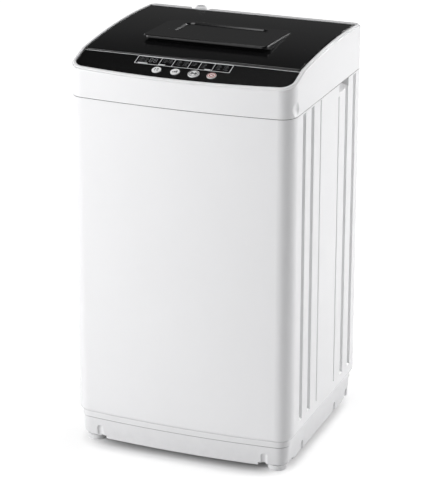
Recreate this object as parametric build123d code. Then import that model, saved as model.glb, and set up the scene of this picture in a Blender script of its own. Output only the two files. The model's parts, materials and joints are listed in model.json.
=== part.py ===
"""Compact top load washing machine, built as separate named pieces. Millimetres, +Z up, front towards -Y."""
import os
from math import acos, cos, hypot, pi, radians, sin, sqrt, tan

from build123d import *

# Overall sizes
WIDTH = 430.0  # across the cabinet
DEPTH = 400.0  # front of the bowed face to the rear of the inlet nipple
REAR_REACH = 6.0  # how far the fittings stand out behind the cabinet
BOW = 12.0  # how far the front face bulges
CORNER_FRONT = 30.0  # plan radius of the front corners
CORNER_REAR = 18.0  # plan radius of the rear corners
WALL = 3.0  # moulded wall of cabinet, frame and lid
FOOT_H = 11.0  # floor to the underside of the base
BASE_TOP = 62.0  # floor to the joint of base and cabinet
SEAM = 680.0  # floor to the joint of cabinet and top frame
DOME_RISE = 88.0  # crown of the lid over the seam
DOME_Y = 78.0  # the crown's place from front to back
DOME_R = 1650.0  # radius of the dome in side view
PANEL_RUN = 72.0  # front face to the line where lid and control panel meet
PANEL_SLOPE = radians(18.4)  # fall of the control panel

# Clearances
FIT = 0.4  # between moulded pieces that are fixed together side by side
RUN = 0.1  # radial running fit of a turning shaft
SLIP = 0.3  # between pieces that move past each other
PIN_FIT = 0.02  # radial fit of a fixed pin

# Cabinet
SEAM_CHAMFER = 0.8
BOTTOM_ROUND = 9.0  # the cabinet's lower edge rolls inwards
FLANGE_T = 6.0  # inward flange that stands on the base
FLANGE_IN = 28.0
GROOVE_MID = 11.0  # y in the middle of the upright grooves
GROOVES = ((50.0, 6.0, 1.8), (94.0, 16.0, 4.5), (138.0, 16.0, 4.5))  # offset, width and depth of each
GROOVE_UP = 25.0  # lower ends of the grooves over the base
GROOVE_GAP = 3.0  # groove tops stay this far under the seam
HOLD_Y = 88.0  # middle of the hand hold
HOLD_W = 52.0
HOLD_H = 17.0
HOLD_D = 13.0
BACK_IN = 35.0  # back panel to the cabinet's sides
BACK_UP = 30.0  # and to the base
BACK_DROP = 70.0  # and to the seam
BACK_T = 1.2
BACK_LAP = 15.0
GLAND_IN = 32.0  # cord gland to the edge of the back panel
GLAND_UP = 36.0
GLAND_R = 8.0
GLAND_BORE = 4.0

# Base and feet
BAND_H = 11.0
BAND_IN = 6.0
SKIRT_IN = 7.5
SKIRT_TAPER = 3.0
SKIRT_INNER = 16.0
FOOT_IN = 32.0  # feet to the cabinet's sides
FOOT_BACK = 40.0  # front feet behind the front face
FOOT_FORE = 36.0  # rear feet before the rear wall
FOOT_R = 18.0
STUD_R = 5.0
RIB_Y = 60.0  # cross ribs of the base
CORNER_RISE = 5.0  # how much higher the skirt's front corners end
CORNER_RUN = 62.0  # length of those corners from the cabinet's sides
FLUTE_R = 8.0  # upright flutes beside the foot corners
FLUTE_OUT = 3.0  # their axis outside the skirt
FLUTE_IN = 49.0  # flutes in the front to the cabinet's sides
FLUTE_FRONT_H = 26.0
FLUTE_SIDE_H = 19.0
FLUTE_BACK = 109.0  # flutes in the sides: one behind the front face
FLUTE_FORE = (99.0, 29.0)  # and two before the rear wall

# Top frame, lid and control panel
RIM = 7.0  # width of the white rim round the black top
RIM_ROUND = 2.5
BEAD_IN = 3.0  # raised bead along the rim, from the outside
BEAD_UP = 2.0
BEAD_ROUND = 1.6
SCOOP_R = 26.0  # thumb scoops at the front corners
SCOOP_DEEP = 3.5
SCOOP_UP = 15.0  # over the seam
SCOOP_TURN = radians(12.0)  # from the side towards the front
POCKET = 14.2  # depth of the recess under lid and panel
LID_GAP = 1.5
LID_DEEP = 11.0
LID_ROUND = 3.0
HINGE_IN = 26.0  # hinge axis before the rear wall
HINGE_R = 5.2
HINGE_PIN_R = 2.5
LEDGE = 19.5  # white ledge behind the lid
MOUTH_R = 140.0
MOUTH_IN = 7.0  # flat front of the mouth behind the lid's front
SKIRT_DROP = 19.0  # the mouth's drip skirt under the seam
GRIP_IN = 85.5  # ends of the grip to the lid's sides
GRIP_BACK = 60.0  # front of the grip behind the lid line
GRIP_REACH = 20.0  # overhang of the grip's lip
GRIP_FORE = 96.0  # rear of the grip before the hinge
GRIP_RISE = 11.5
GRIP_END = 1.0
LIP_T = 4.5
DISH_IN = 39.0  # dish in the grip, from its ends, front and rear
DISH_BACK = 48.0
DISH_FORE = 14.0
DISH_DEEP = 2.0
PANEL_T = 3.0
PANEL_SINK = 3.0  # control panel under the rim
BUTTONS = {"button_program": (-49.5, 8.6), "button_level": (-14.0, 8.6),
           "button_start": (21.5, 10.4), "button_power": (55.5, 8.6)}
BUTTON_DOWN = 42.8  # distance of the buttons below the lid line
BUTTON_UP = 1.6
BUTTON_TRAVEL = 1.2
BUTTON_FLANGE = 1.4
DISPLAY = (-100.0, 84.0, 2.6, 28.6)  # left, right, upper and lower limits on the panel
DISPLAY_T = 2.0
BOARD_HALF = 145.0
BOARD_DEEP = 8.0
BOARD_T = 1.6
BOARD_DOWN = (10.0, 50.0)  # upper and lower edge of the board on the panel
BOARD_POSTS = (14.0, 45.0)

# Water fittings
INLET_X = -110.0
NIPPLE_R = 10.5
NIPPLE_BORE = 7.0
NIPPLE_DROP = 0.0  # nipple under the crown of the lid
NOTCH_DEEP = 22.0  # height of the nipple in its notch
NOTCH_HALF = 20.0
NECK_R = 6.5
VALVE_RUN = 42.0  # front of the inlet valve before the rear wall
VALVE_UP = (16.0, 46.0)  # underside and top of the inlet valve over the seam
SPOUT_HALF = 11.0
SPOUT_UP = 24.0
SPOUT_H = 16.0
SENSOR_X = 110.0
SENSOR_IN = 18.0  # air tube before the rear wall
SENSOR_UP = 35.0
SENSOR_R = 23.0
TUBE_R = 4.0
TUBE_BORE = 2.5
CHAMBER_H = 64.0  # top of the air chamber over the tub's floor
DRAIN_X = -85.0
DRAIN_Y = 90.0
DRAIN_UP = 20.0  # outlet over the underside of the base
HOSE_R = 13.0  # spigots inside, under the soft hose
SPIGOT_R = 14.0  # free spigot behind the base
HOSE_T = 3.0
HOSE_BEND = 40.0
OUTLET_RUN = 46.0  # inner end of the outlet before the rear wall

# Tub, basket and drive
TUB_UP = 154.0  # tub floor over the base
TUB_DROP = 40.0  # tub rim under the seam
TUB_R_LOW = 158.0
TUB_R_HIGH = 168.0
RIM_R = 178.0
SEAL_T = 8.0  # shaft seal between the spin shaft and the tub's hub
HUB_T = 8.0
BASKET_R = 150.0
BASKET_T = 2.5
BASKET_UP = 20.0  # basket floor over the tub floor
BASKET_DROP = 42.0  # basket wall under the tub rim
FLOOR_T = 6.0
BALANCE_IN = 138.0
BALANCE_OUT = 158.0
BALANCE_H = 38.0
FILTER_UP = 98.0
FILTER_H = 130.0
FILTER_HALF = 42.0
PULSATOR_R = 122.0
PULSATOR_UP = 10.0
SCREW_R = 4.0
SPIN_R = 14.0
DRIVE_R = 7.0
INPUT_R = 8.0
PLATE_DROP = 12.0  # chassis plate under the tub floor
PLATE_T = 3.0
PLATE_HALF = 64.0
GEARBOX_R = 46.0
PULLEY_UP = 18.0  # pulleys over the base
PULLEY_H = 16.0
PULLEY_HUB = 6.0
PULLEY_RATIO = 3.0
GROOVE_BIG = 66.0  # groove floor radius of the drive pulley
PULLEY_LIP = 8.0
BELT_W = 7.4
BELT_Z = 4.0  # height of the groove over the pulley's lower face
GROOVE_W = 8.0
BELT_T = 5.0
MOTOR_X = 118.0
MOTOR_R = 50.0
MOTOR_SHAFT_R = 6.0
BUSH_H = 14.0
VALVE_H = 48.0  # drain valve under the tub's sump
SUMP_H = 10.0
ROD_UP = 20.0  # drain rod over the valve's underside
ROD_R = 3.0
ROD_END = 46.0  # free end of the rod, in the actuator
ROD_TRAVEL = 8.0
LEVER_Y = 66.0
LEVER_PIN_R = 4.0

# Suspension
HANG_IN = 45.0  # rods to the cabinet's sides
HANG_BACK = 54.0  # and to its front
HANG_FORE = 44.0  # and to its rear wall
HANG_DROP = 32.0  # corner plates under the seam
HANG_T = 12.0
SUSPEND_R = 3.0
LUG_UP = 34.0  # tub lugs over the tub floor
LUG_T = 12.0
LUG_BORE = 9.0
SLEEVE_R = 18.0
SLEEVE_T = 2.5
SLEEVE_H = 90.0
CUP_TOP = 6.0  # thickness of the cup's roof under the lug
CAP_DROP = 78.0  # spring cap under the lug
CAP_H = 10.0
COIL_R = 11.5
WIRE_R = 1.6
COILS = 5
HOLE_COLUMNS = 14
HOLE_ROWS = 6
HOLE_MARGIN = 40.0
FINS = 6

# Sizes that follow from those above
HALF = WIDTH / 2
FRONT = -DEPTH / 2
REAR = DEPTH / 2 - REAR_REACH
BOW_R = (HALF**2 + BOW**2) / (2 * BOW)
BOW_CY = FRONT + BOW_R
DOME_Z = SEAM + DOME_RISE
PANEL_Y = FRONT + PANEL_RUN
BACK_HALF = HALF - BACK_IN
BACK_LOW = BASE_TOP + BACK_UP
BACK_HIGH = SEAM - BACK_DROP
GLAND = (BACK_HALF - GLAND_IN, BACK_LOW + GLAND_UP)
FOOT_X = HALF - FOOT_IN
FEET_FRONT = {"foot_left": (-FOOT_X, FRONT + FOOT_BACK), "foot_right": (FOOT_X, FRONT + FOOT_BACK)}
FEET_REAR = [(-FOOT_X, REAR - FOOT_FORE), (FOOT_X, REAR - FOOT_FORE)]
STUD_TOP = BASE_TOP - 12.0
LID_HALF = HALF - RIM - LID_GAP
LID_FRONT = PANEL_Y + 0.8
MOUTH_FRONT = LID_FRONT + MOUTH_IN
HINGE_Y = REAR - HINGE_IN
HINGE_Z = DOME_Z - DOME_R + sqrt(DOME_R**2 - (HINGE_Y - DOME_Y) ** 2) - HINGE_R
POCKET_REAR = REAR - LEDGE
SKIRT_LOW = SEAM - SKIRT_DROP
GRIP_HALF = LID_HALF - GRIP_IN
GRIP_FRONT = PANEL_Y + GRIP_BACK
GRIP_ROOT = GRIP_FRONT + GRIP_REACH
GRIP_REAR = HINGE_Y - GRIP_FORE
DISH_HALF = GRIP_HALF - DISH_IN
DISH_FRONT = GRIP_FRONT + DISH_BACK
DISH_REAR = GRIP_REAR - DISH_FORE
BUTTON_LOW = -PANEL_T - SLIP - BUTTON_FLANGE
NIPPLE_TOP = DOME_Z - NIPPLE_DROP
NOTCH_FLOOR = NIPPLE_TOP - NOTCH_DEEP
NIPPLE_Y = DEPTH / 2 - NIPPLE_R
NECK_Y = NIPPLE_Y - 7.0
VALVE_FRONT = REAR - VALVE_RUN
SPOUT_LOW = SEAM + SPOUT_UP
SPOUT_END = sqrt(MOUTH_R**2 - INLET_X**2) - 2.6
SENSOR = (SENSOR_X, REAR - SENSOR_IN)
SENSOR_Z = SEAM + SENSOR_UP
HUB_R = SPIN_R + SEAL_T
TUB_LOW = BASE_TOP + TUB_UP
TUB_HIGH = SEAM - TUB_DROP
CHAMBER_TOP = TUB_LOW + CHAMBER_H
BASKET_LOW = TUB_LOW + BASKET_UP
BASKET_TOP = BASKET_LOW + FLOOR_T
BASKET_HIGH = TUB_HIGH - BASKET_DROP
HOLE_PITCH = (BASKET_HIGH - BASKET_TOP - 2 * HOLE_MARGIN) / HOLE_ROWS
PULSATOR_LOW = BASKET_LOW + PULSATOR_UP
PLATE_Z = TUB_LOW - PLATE_DROP
PULLEY_LOW = BASE_TOP + PULLEY_UP
HUB_TOP = PULLEY_LOW + PULLEY_H + PULLEY_HUB
GEARBOX_LOW = HUB_TOP + 10.0
INPUT_TOP = GEARBOX_LOW + 26.0
SPIN_LOW = INPUT_TOP + 14.0
MOTOR_LOW = HUB_TOP + 6.0
MOTOR_HIGH = PLATE_Z - BUSH_H
BELT_BIG = GROOVE_BIG + SLIP
GROOVE_SMALL = (BELT_BIG + BELT_T / 2) / PULLEY_RATIO - BELT_T / 2 - SLIP
SUMP_LOW = TUB_LOW - SUMP_H
VALVE_LOW = SUMP_LOW - VALVE_H
ROD_Z = VALVE_LOW + ROD_UP
DRAIN_Z = FOOT_H + DRAIN_UP
OUTLET_IN = REAR - OUTLET_RUN
HANG_Z = SEAM - HANG_DROP
HANGS = [(side * (HALF - HANG_IN), y) for side in (-1, 1) for y in (FRONT + HANG_BACK, REAR - HANG_FORE)]
LUG_LOW = TUB_LOW + LUG_UP
SLEEVE_LOW = LUG_LOW - SLEEVE_H
SLEEVE_IN = SLEEVE_R - SLEEVE_T
CAP_LOW = LUG_LOW - CAP_DROP


def bow(x, inset=0.0):
    """The y of the bowed front at x, drawn in by an inset."""
    return BOW_CY - sqrt((BOW_R - inset) ** 2 - x**2)


def outline(inset=0.0):
    """Plan face of the cabinet, drawn in by an inset: straight sides and back, bowed front."""
    half = HALF - inset
    rear = REAR - inset
    side = bow(half, inset)
    edges = [
        Line((half, side), (half, rear)),
        Line((half, rear), (-half, rear)),
        Line((-half, rear), (-half, side)),
        ThreePointArc((-half, side), (0, FRONT + inset), (half, side)),
    ]
    face = make_face(edges)
    face = fillet(face.vertices().sort_by(Axis.Y)[:2], max(CORNER_FRONT - inset, 2.0))
    return fillet(face.vertices().sort_by(Axis.Y)[-2:], max(CORNER_REAR - inset, 2.0))


def slab(face, low, high):
    """A plan face raised between two heights."""
    return extrude(Pos(0, 0, low) * face, high - low)


def block(x, y, z):
    """A box between pairs of limits."""
    size = (x[1] - x[0], y[1] - y[0], z[1] - z[0])
    return Pos((x[0] + x[1]) / 2, (y[0] + y[1]) / 2, (z[0] + z[1]) / 2) * Box(*size)


def post(at, radius, low, high):
    """An upright cylinder at a place in plan."""
    return Pos(at[0], at[1], (low + high) / 2) * Cylinder(radius, high - low)


def bar(y, z, radius, left, right):
    """A cylinder along X between two ends."""
    return Pos((left + right) / 2, y, z) * Rot(0, 90, 0) * Cylinder(radius, right - left)


def reach(x, z, radius, front, rear):
    """A cylinder along Y between two ends."""
    return Pos(x, (front + rear) / 2, z) * Rot(90, 0, 0) * Cylinder(radius, rear - front)


def atan2_deg(y, x):
    """Direction of a place in plan, in degrees."""
    return Vector(x, y, 0).get_signed_angle(Vector(1, 0, 0), Vector(0, 0, -1))


def lathe(points, at=(0, 0)):
    """A turned piece from radius and height points, standing at a place in plan."""
    face = make_face(Polyline(*points, close=True))
    return Pos(at[0], at[1], 0) * revolve(Plane.XZ * face, Axis.Z)


def side_prism(face, half):
    """A face drawn in side view, widened to both sides."""
    return extrude(Plane.YZ * face, half, both=True)


def side_shape(points, half):
    """A polygon drawn in side view, widened to both sides."""
    return side_prism(make_face(Polyline(*points, close=True)), half)


def dome(y, drop=0.0):
    """Height of the dome at y, sunk along its normal by a drop."""
    return DOME_Z - DOME_R + sqrt((DOME_R - drop) ** 2 - (y - DOME_Y) ** 2)


def panel_line(y, drop=0.0):
    """Height of the control panel's plane at y, sunk along its normal by a drop."""
    return dome(PANEL_Y) + (y - PANEL_Y) * tan(PANEL_SLOPE) - drop / cos(PANEL_SLOPE)


def ridge(drop):
    """The y at which the sunk dome meets the sunk panel plane."""
    low, high = PANEL_Y - 30.0, PANEL_Y + 60.0
    for _ in range(60):
        middle = (low + high) / 2
        if panel_line(middle, drop) < dome(middle, drop):
            low = middle
        else:
            high = middle
    return low


def under_roof(drop=0.0, soften=0.0):
    """Everything under the dome and the panel plane, both sunk by a drop."""
    crease = ridge(drop)
    rear = DEPTH / 2 + 20.0
    front = FRONT - 30.0
    middle = (crease + rear) / 2
    low = BASE_TOP
    edges = [
        ThreePointArc((rear, dome(rear, drop)), (middle, dome(middle, drop)), (crease, dome(crease, drop))),
        Line((crease, dome(crease, drop)), (front, panel_line(front, drop))),
        Line((front, panel_line(front, drop)), (front, low)),
        Line((front, low), (rear, low)),
        Line((rear, low), (rear, dome(rear, drop))),
    ]
    face = make_face(edges)
    if soften:
        corner = [v for v in face.vertices() if hypot(v.X - crease, v.Y - dome(crease, drop)) < 0.01]
        face = fillet(corner, soften)
    return side_prism(face, HALF + 10.0)


# The control panel's own axes: x across, y up the slope from the lid line, z out of the panel
PANEL_OUT = Vector(0, -sin(PANEL_SLOPE), cos(PANEL_SLOPE))
PANEL_TOP = Vector(0, PANEL_Y, dome(PANEL_Y)) - PANEL_OUT * PANEL_SINK
PANEL = Plane(origin=PANEL_TOP, x_dir=(1, 0, 0), z_dir=PANEL_OUT)


def panel_block(x, down, z):
    """A box on the panel between limits across, down the slope and out of the panel."""
    return PANEL * block(x, (-down[1], -down[0]), z)


def panel_post(x, down, radius, z):
    """A cylinder square to the panel."""
    return PANEL * post((x, -down), radius, z[0], z[1])


def sunk_strip(side, y, low, high, width, depth, taper):
    """A tapered channel sunk into a side wall from outside."""
    face = Plane(origin=(side * HALF, y, (low + high) / 2), x_dir=(0, 1, 0), z_dir=(-side, 0, 0))
    return extrude(face * Rectangle(width, high - low), depth, taper=taper)


def grooves():
    """Side, y, upper end, width and depth of every groove; one runs into the hand hold, one ends below."""
    for side in (-1, 1):
        for offset, width, depth in GROOVES:
            for y in (GROOVE_MID - offset, GROOVE_MID + offset):
                away = abs(y - HOLD_Y)
                high = SEAM - GROOVE_GAP
                if away <= (HOLD_W - width) / 2:
                    high = SEAM - HOLD_H + 6.0
                elif away < (HOLD_W + width) / 2:
                    high = SEAM - HOLD_H - 6.0
                yield side, y, high, width, depth


def side_cuts():
    """Grooves and hand holds sunk into both sides."""
    low = BASE_TOP + GROOVE_UP
    cuts = [sunk_strip(side, y, low, high, width, depth, 45) for side, y, high, width, depth in grooves()]
    for side in (-1, 1):
        cuts.append(sunk_strip(side, HOLD_Y, SEAM - HOLD_H, SEAM + HOLD_H, HOLD_W, HOLD_D, 30))
    return cuts


def side_bumps():
    """The wall's bulges inside, behind every deep groove and hand hold."""
    bumps = []
    for side, y, high, width, depth in grooves():
        if depth > WALL / 2 + 0.5:
            low = BASE_TOP + GROOVE_UP - 2.5
            bumps.append(sunk_strip(side, y, low, high + 2.5, width + 5.0, depth + WALL, 45))
    for side in (-1, 1):
        low, high = SEAM - HOLD_H - 3.5, SEAM + HOLD_H + 3.5
        bumps.append(sunk_strip(side, HOLD_Y, low, high, HOLD_W + 7.0, HOLD_D + WALL, 30))
    return bumps


def cabinet():
    """Bowed shell with upright grooves, hand holds, an inward foot flange and a service opening behind."""
    outer = slab(outline(), BASE_TOP, SEAM)
    bottom = outer.faces().sort_by(Axis.Z)[0]
    outer = fillet(bottom.edges(), BOTTOM_ROUND)
    outer = chamfer(outer.faces().sort_by(Axis.Z)[-1].edges(), SEAM_CHAMFER)
    inner = slab(outline(WALL), BASE_TOP + FLANGE_T, SEAM + 1.0)
    shell = outer - side_cuts() - (inner - side_bumps())
    shell -= slab(outline(FLANGE_IN), BASE_TOP - 1.0, BASE_TOP + FLANGE_T + 1.0)
    reach_in = BACK_HALF - BACK_LAP
    upright = (BACK_LOW + BACK_LAP, BACK_HIGH - BACK_LAP)
    shell -= block((-reach_in, reach_in), (REAR - 10.0, REAR + 10.0), upright)
    return shell


def back_panel():
    """Service plate on the rear, with vent slots and the cord gland's hole."""
    plate = block((-BACK_HALF, BACK_HALF), (REAR, REAR + BACK_T), (BACK_LOW, BACK_HIGH))
    slots = []
    for x in (-70.0, 70.0):
        for row in range(6):
            z = BACK_LOW + 60.0 + row * 12.0
            slots.append(block((x - 35.0, x + 35.0), (REAR - 5.0, REAR + 5.0), (z, z + 4.0)))
    return plate - slots - reach(GLAND[0], GLAND[1], GLAND_R + PIN_FIT, REAR - 5.0, REAR + 5.0)


def cord_gland():
    """Bush for the mains lead, with a flange each side of the back panel."""
    body = reach(*GLAND, GLAND_R, REAR - 4.0, REAR + 5.0)
    outside = reach(*GLAND, GLAND_R + 3.0, REAR + BACK_T, REAR + BACK_T + 2.0)
    inside = reach(*GLAND, GLAND_R + 2.0, REAR - 4.0, REAR)
    return body + outside + inside - reach(*GLAND, GLAND_BORE, REAR - 10.0, REAR + 10.0)


def back_screws():
    """Pan heads round the back panel."""
    heads = []
    for x in (-BACK_HALF + 7.5, BACK_HALF - 7.5):
        for z in (BACK_LOW + 12.0, (BACK_LOW + BACK_HIGH) / 2, BACK_HIGH - 12.0):
            heads.append(reach(x, z, 4.0, REAR + BACK_T, REAR + BACK_T + 2.0))
    return heads


def flute(at, height):
    """An upright channel with a round top, rising from the skirt's lower edge."""
    top = FOOT_H + height - FLUTE_R
    return post(at, FLUTE_R, 0.0, top) + Pos(at[0], at[1], top) * Sphere(FLUTE_R)


def base():
    """Stepped skirt with foot bosses, cross ribs, raised front corners and flutes beside the feet."""
    step = BASE_TOP - BAND_H
    skirt = extrude(Pos(0, 0, step) * outline(SKIRT_IN), step - FOOT_H, dir=(0, 0, -1), taper=SKIRT_TAPER)
    body = slab(outline(BAND_IN), step, BASE_TOP) + skirt
    body -= slab(outline(SKIRT_INNER), FOOT_H - 1.0, BASE_TOP + 1.0)
    inside = slab(outline(SKIRT_INNER - 2.0), FOOT_H, BASE_TOP)
    for at in list(FEET_FRONT.values()) + FEET_REAR:
        body += post(at, FOOT_R + 5.0, FOOT_H, BASE_TOP - 8.0) & inside
    for y in (-RIB_Y, RIB_Y):
        body += block((-HALF, HALF), (y - 2.0, y + 2.0), (FOOT_H + 6.0, FOOT_H + 32.0)) & inside
    for at in list(FEET_FRONT.values()) + FEET_REAR:
        body -= post(at, STUD_R + SLIP, FOOT_H - 1.0, BASE_TOP + 1.0)
    keep = slab(outline(SKIRT_INNER), 0.0, BASE_TOP)
    for side in (-1, 1):
        ends = sorted((side * (HALF - CORNER_RUN), side * (HALF + 17.5)))
        body -= block(ends, (FRONT, FRONT + CORNER_RUN), (0.0, FOOT_H + CORNER_RISE)) - keep
        x = side * (HALF - FLUTE_IN)
        body -= flute((x, bow(x, SKIRT_IN) - FLUTE_OUT), FLUTE_FRONT_H)
        for y in [FRONT + FLUTE_BACK] + [REAR - fore for fore in FLUTE_FORE]:
            body -= flute((side * (HALF - SKIRT_IN + FLUTE_OUT), y), FLUTE_SIDE_H)
    return body - reach(DRAIN_X, DRAIN_Z, HOSE_R + PIN_FIT, REAR - 30.0, REAR)


def foot(at, top):
    """A foot: a pad with a chamfered lower edge and a stud in the base."""
    pad = [(0, 0), (FOOT_R - 2.0, 0), (FOOT_R, 2.0), (FOOT_R, top)]
    pad += [(STUD_R, top), (STUD_R, STUD_TOP), (0, STUD_TOP)]
    return lathe(pad, at)


def notch():
    """Space round the inlet nipple, open above and behind."""
    sides = (INLET_X - NOTCH_HALF, INLET_X + NOTCH_HALF)
    return block(sides, (POCKET_REAR + 1.5, DEPTH), (NOTCH_FLOOR, DOME_Z + 20.0))


def mouth(grow, low, high):
    """The loading mouth: a round well cut flat where it would pass the lid's front."""
    well = post((0, 0), MOUTH_R + grow, low, high)
    return well & block((-HALF, HALF), (MOUTH_FRONT - grow, DEPTH), (low, high))


def top_frame():
    """White upper ring: beaded rim, recess for the black top, skirt, rear ledge, notch, hand hold roofs."""
    blank = slab(outline(), SEAM, DOME_Z + 20.0) & under_roof(BEAD_UP, soften=40.0)
    blank = chamfer(blank.faces().sort_by(Axis.Z)[0].edges(), SEAM_CHAMFER)
    bead = slab(outline(BEAD_IN), SEAM, DOME_Z + 20.0) & under_roof(soften=40.0)
    blank = fillet(upper_rim(blank), RIM_ROUND) + fillet(upper_rim(bead), BEAD_ROUND)
    tall = (SEAM - 2.0, DOME_Z + 30.0)
    pocket = slab(outline(RIM), *tall) - under_roof(POCKET)
    pocket &= block((-HALF, HALF), (FRONT, POCKET_REAR), tall)
    hollow = slab(outline(WALL), *tall) & under_roof(POCKET + WALL)
    ledge = slab(outline(WALL), *tall) & under_roof(WALL)
    ledge &= block((-HALF, HALF), (POCKET_REAR + WALL, DEPTH), tall)
    sides = (INLET_X - NOTCH_HALF - 2.0, INLET_X + NOTCH_HALF + 2.0)
    walled = block(sides, (0.0, DEPTH), (NOTCH_FLOOR - 2.0, DOME_Z + 20.0))
    frame = blank - pocket - (hollow - scoops(SCOOP_R + WALL)) - (ledge - walled) - scoops(SCOOP_R)
    skirt = mouth(WALL, SKIRT_LOW, DOME_Z) & under_roof(POCKET)
    frame += skirt
    frame -= mouth(0.0, SKIRT_LOW - 1.0, DOME_Z + 1.0)
    frame -= notch()
    frame -= post((INLET_X, NECK_Y), NECK_R + FIT, NOTCH_FLOOR - 5.0, NOTCH_FLOOR + 1.0)
    wide = (INLET_X - SPOUT_HALF - FIT, INLET_X + SPOUT_HALF + FIT)
    window = (SPOUT_LOW - FIT, SPOUT_LOW + SPOUT_H + FIT)
    frame -= block(wide, (SPOUT_END - 24.0, SPOUT_END + 46.0), window)
    for side in (-1, 1):
        ends = sorted((side * (HALF - RIM - 1.0), side * (HALF - 2.4)))
        frame -= bar(HINGE_Y, HINGE_Z, HINGE_PIN_R + PIN_FIT, *ends)
        across = sorted((side * (HALF - HOLD_D - WALL), side * (HALF - WALL / 2)))
        reach = HOLD_W / 2 + 3.5
        frame += block(across, (HOLD_Y - reach, HOLD_Y + reach), (SEAM, SEAM + WALL))
    return frame


def upper_rim(body):
    """Edges round the outside of a body's roof, without any that run across it."""
    upper = [e for e in body.edges() if e.center().Z > SEAM + 20.0 and abs(e.tangent_at(0.5).Z) < 0.9]
    return [e for e in upper if abs(e.center().X) > 1.0 or abs(e.center().Y) > DEPTH / 2 - 20.0]


def scoops(radius):
    """Balls that dip into both front corners just over the seam."""
    middle = HALF - CORNER_FRONT
    away = CORNER_FRONT + SCOOP_R - SCOOP_DEEP
    x, y = middle + away * cos(SCOOP_TURN), bow(middle, CORNER_FRONT) - away * sin(SCOOP_TURN)
    return [Pos(side * x, y, SEAM + SCOOP_UP) * Sphere(radius) for side in (-1, 1)]


def fascia_zone(inset, low, high):
    """Plan zone of the control panel, drawn in on all sides by an inset."""
    zone = slab(outline(RIM + FIT + inset), low, high)
    return zone & block((-HALF, HALF), (FRONT, PANEL_Y - FIT - inset), (low, high))


def control_panel():
    """Sloped fascia: a tray turned over, with button holes, a stepped window and posts for the board."""
    tall = (SEAM, DOME_Z + 20.0)
    fascia = (fascia_zone(0.0, *tall) & under_roof(PANEL_SINK)) - under_roof(POCKET)
    fascia -= fascia_zone(2.5, *tall) & under_roof(PANEL_SINK + PANEL_T)
    for x in (15.0 - BOARD_HALF, BOARD_HALF - 15.0):
        for down in BOARD_POSTS:
            fascia += panel_post(x, down, 3.0, (-BOARD_DEEP, 0.5 - PANEL_T))
    left, right, upper, lower = DISPLAY
    fascia -= panel_block((left, right), (upper, lower), (-DISPLAY_T, 5.0))
    fascia -= panel_block((left + 3.0, right - 3.0), (upper + 3.0, lower - 3.0), (-PANEL_T - 1.0, 5.0))
    for x, radius in BUTTONS.values():
        fascia -= panel_post(x, BUTTON_DOWN, radius + SLIP, (-PANEL_T - 1.0, 5.0))
    return fascia


def display_window():
    """Flush strip in the stepped window."""
    left, right, upper, lower = DISPLAY
    edge = PIN_FIT * 5
    return panel_block((left + edge, right - edge), (upper + edge, lower - edge), (-DISPLAY_T, 0.0))


def control_board():
    """Circuit board with its display block, four switches and a plug below."""
    face = -BOARD_DEEP
    board = panel_block((-BOARD_HALF, BOARD_HALF), BOARD_DOWN, (face - BOARD_T, face))
    board += panel_block((-60.0, 60.0), (BOARD_DOWN[0], BOARD_DOWN[0] + 8.0), (face, -PANEL_T - FIT))
    switch = (face, BUTTON_LOW - BUTTON_TRAVEL - SLIP)
    for x, _ in BUTTONS.values():
        board += panel_block((x - 3.0, x + 3.0), (BUTTON_DOWN - 3.0, BUTTON_DOWN + 3.0), switch)
    plug = (PANEL_SINK + FIT - POCKET, face - BOARD_T)
    return board + panel_block((90.0, 120.0), (22.0, 32.0), plug)


def button(x, radius):
    """Push button with a rounded cap and a flange behind the fascia."""
    at = (x, -BUTTON_DOWN)
    cap = post(at, radius, BUTTON_LOW, BUTTON_UP)
    cap = fillet(cap.edges().sort_by(Axis.Z)[-1], 0.8)
    return PANEL * (cap + post(at, radius + BUTTON_FLANGE, BUTTON_LOW, BUTTON_LOW + BUTTON_FLANGE))


def grip_top(y):
    """Height of the grip plateau at y."""
    front = dome(GRIP_FRONT) + GRIP_RISE
    rear = dome(GRIP_REAR) + GRIP_END
    return front + (rear - front) * (y - GRIP_FRONT) / (GRIP_REAR - GRIP_FRONT)


def grip_plateau():
    """Raised grip with an overhanging front lip, rounded all round its top."""
    points = [
        (GRIP_FRONT, grip_top(GRIP_FRONT)),
        (GRIP_REAR, grip_top(GRIP_REAR)),
        (GRIP_REAR, dome(GRIP_REAR) - 2.0),
        (GRIP_ROOT, dome(GRIP_ROOT) - 2.0),
        (GRIP_ROOT, grip_top(GRIP_FRONT) - LIP_T),
        (GRIP_FRONT, grip_top(GRIP_FRONT) - LIP_T),
    ]
    body = side_shape(points, GRIP_HALF)
    upright = body.edges().filter_by(Axis.Z)
    body = fillet(upright.filter_by(lambda e: e.center().Y < GRIP_FRONT + 1.0), 12.0)
    body = fillet(body.edges().filter_by(Axis.Z).filter_by(lambda e: e.center().Y > GRIP_REAR - 1.0), 20.0)
    top = body.faces().sort_by(Axis.Z)[-1]
    return fillet(top.edges().filter_by(lambda e: e.center().Y < GRIP_REAR - 4.0), 1.8)


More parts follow.
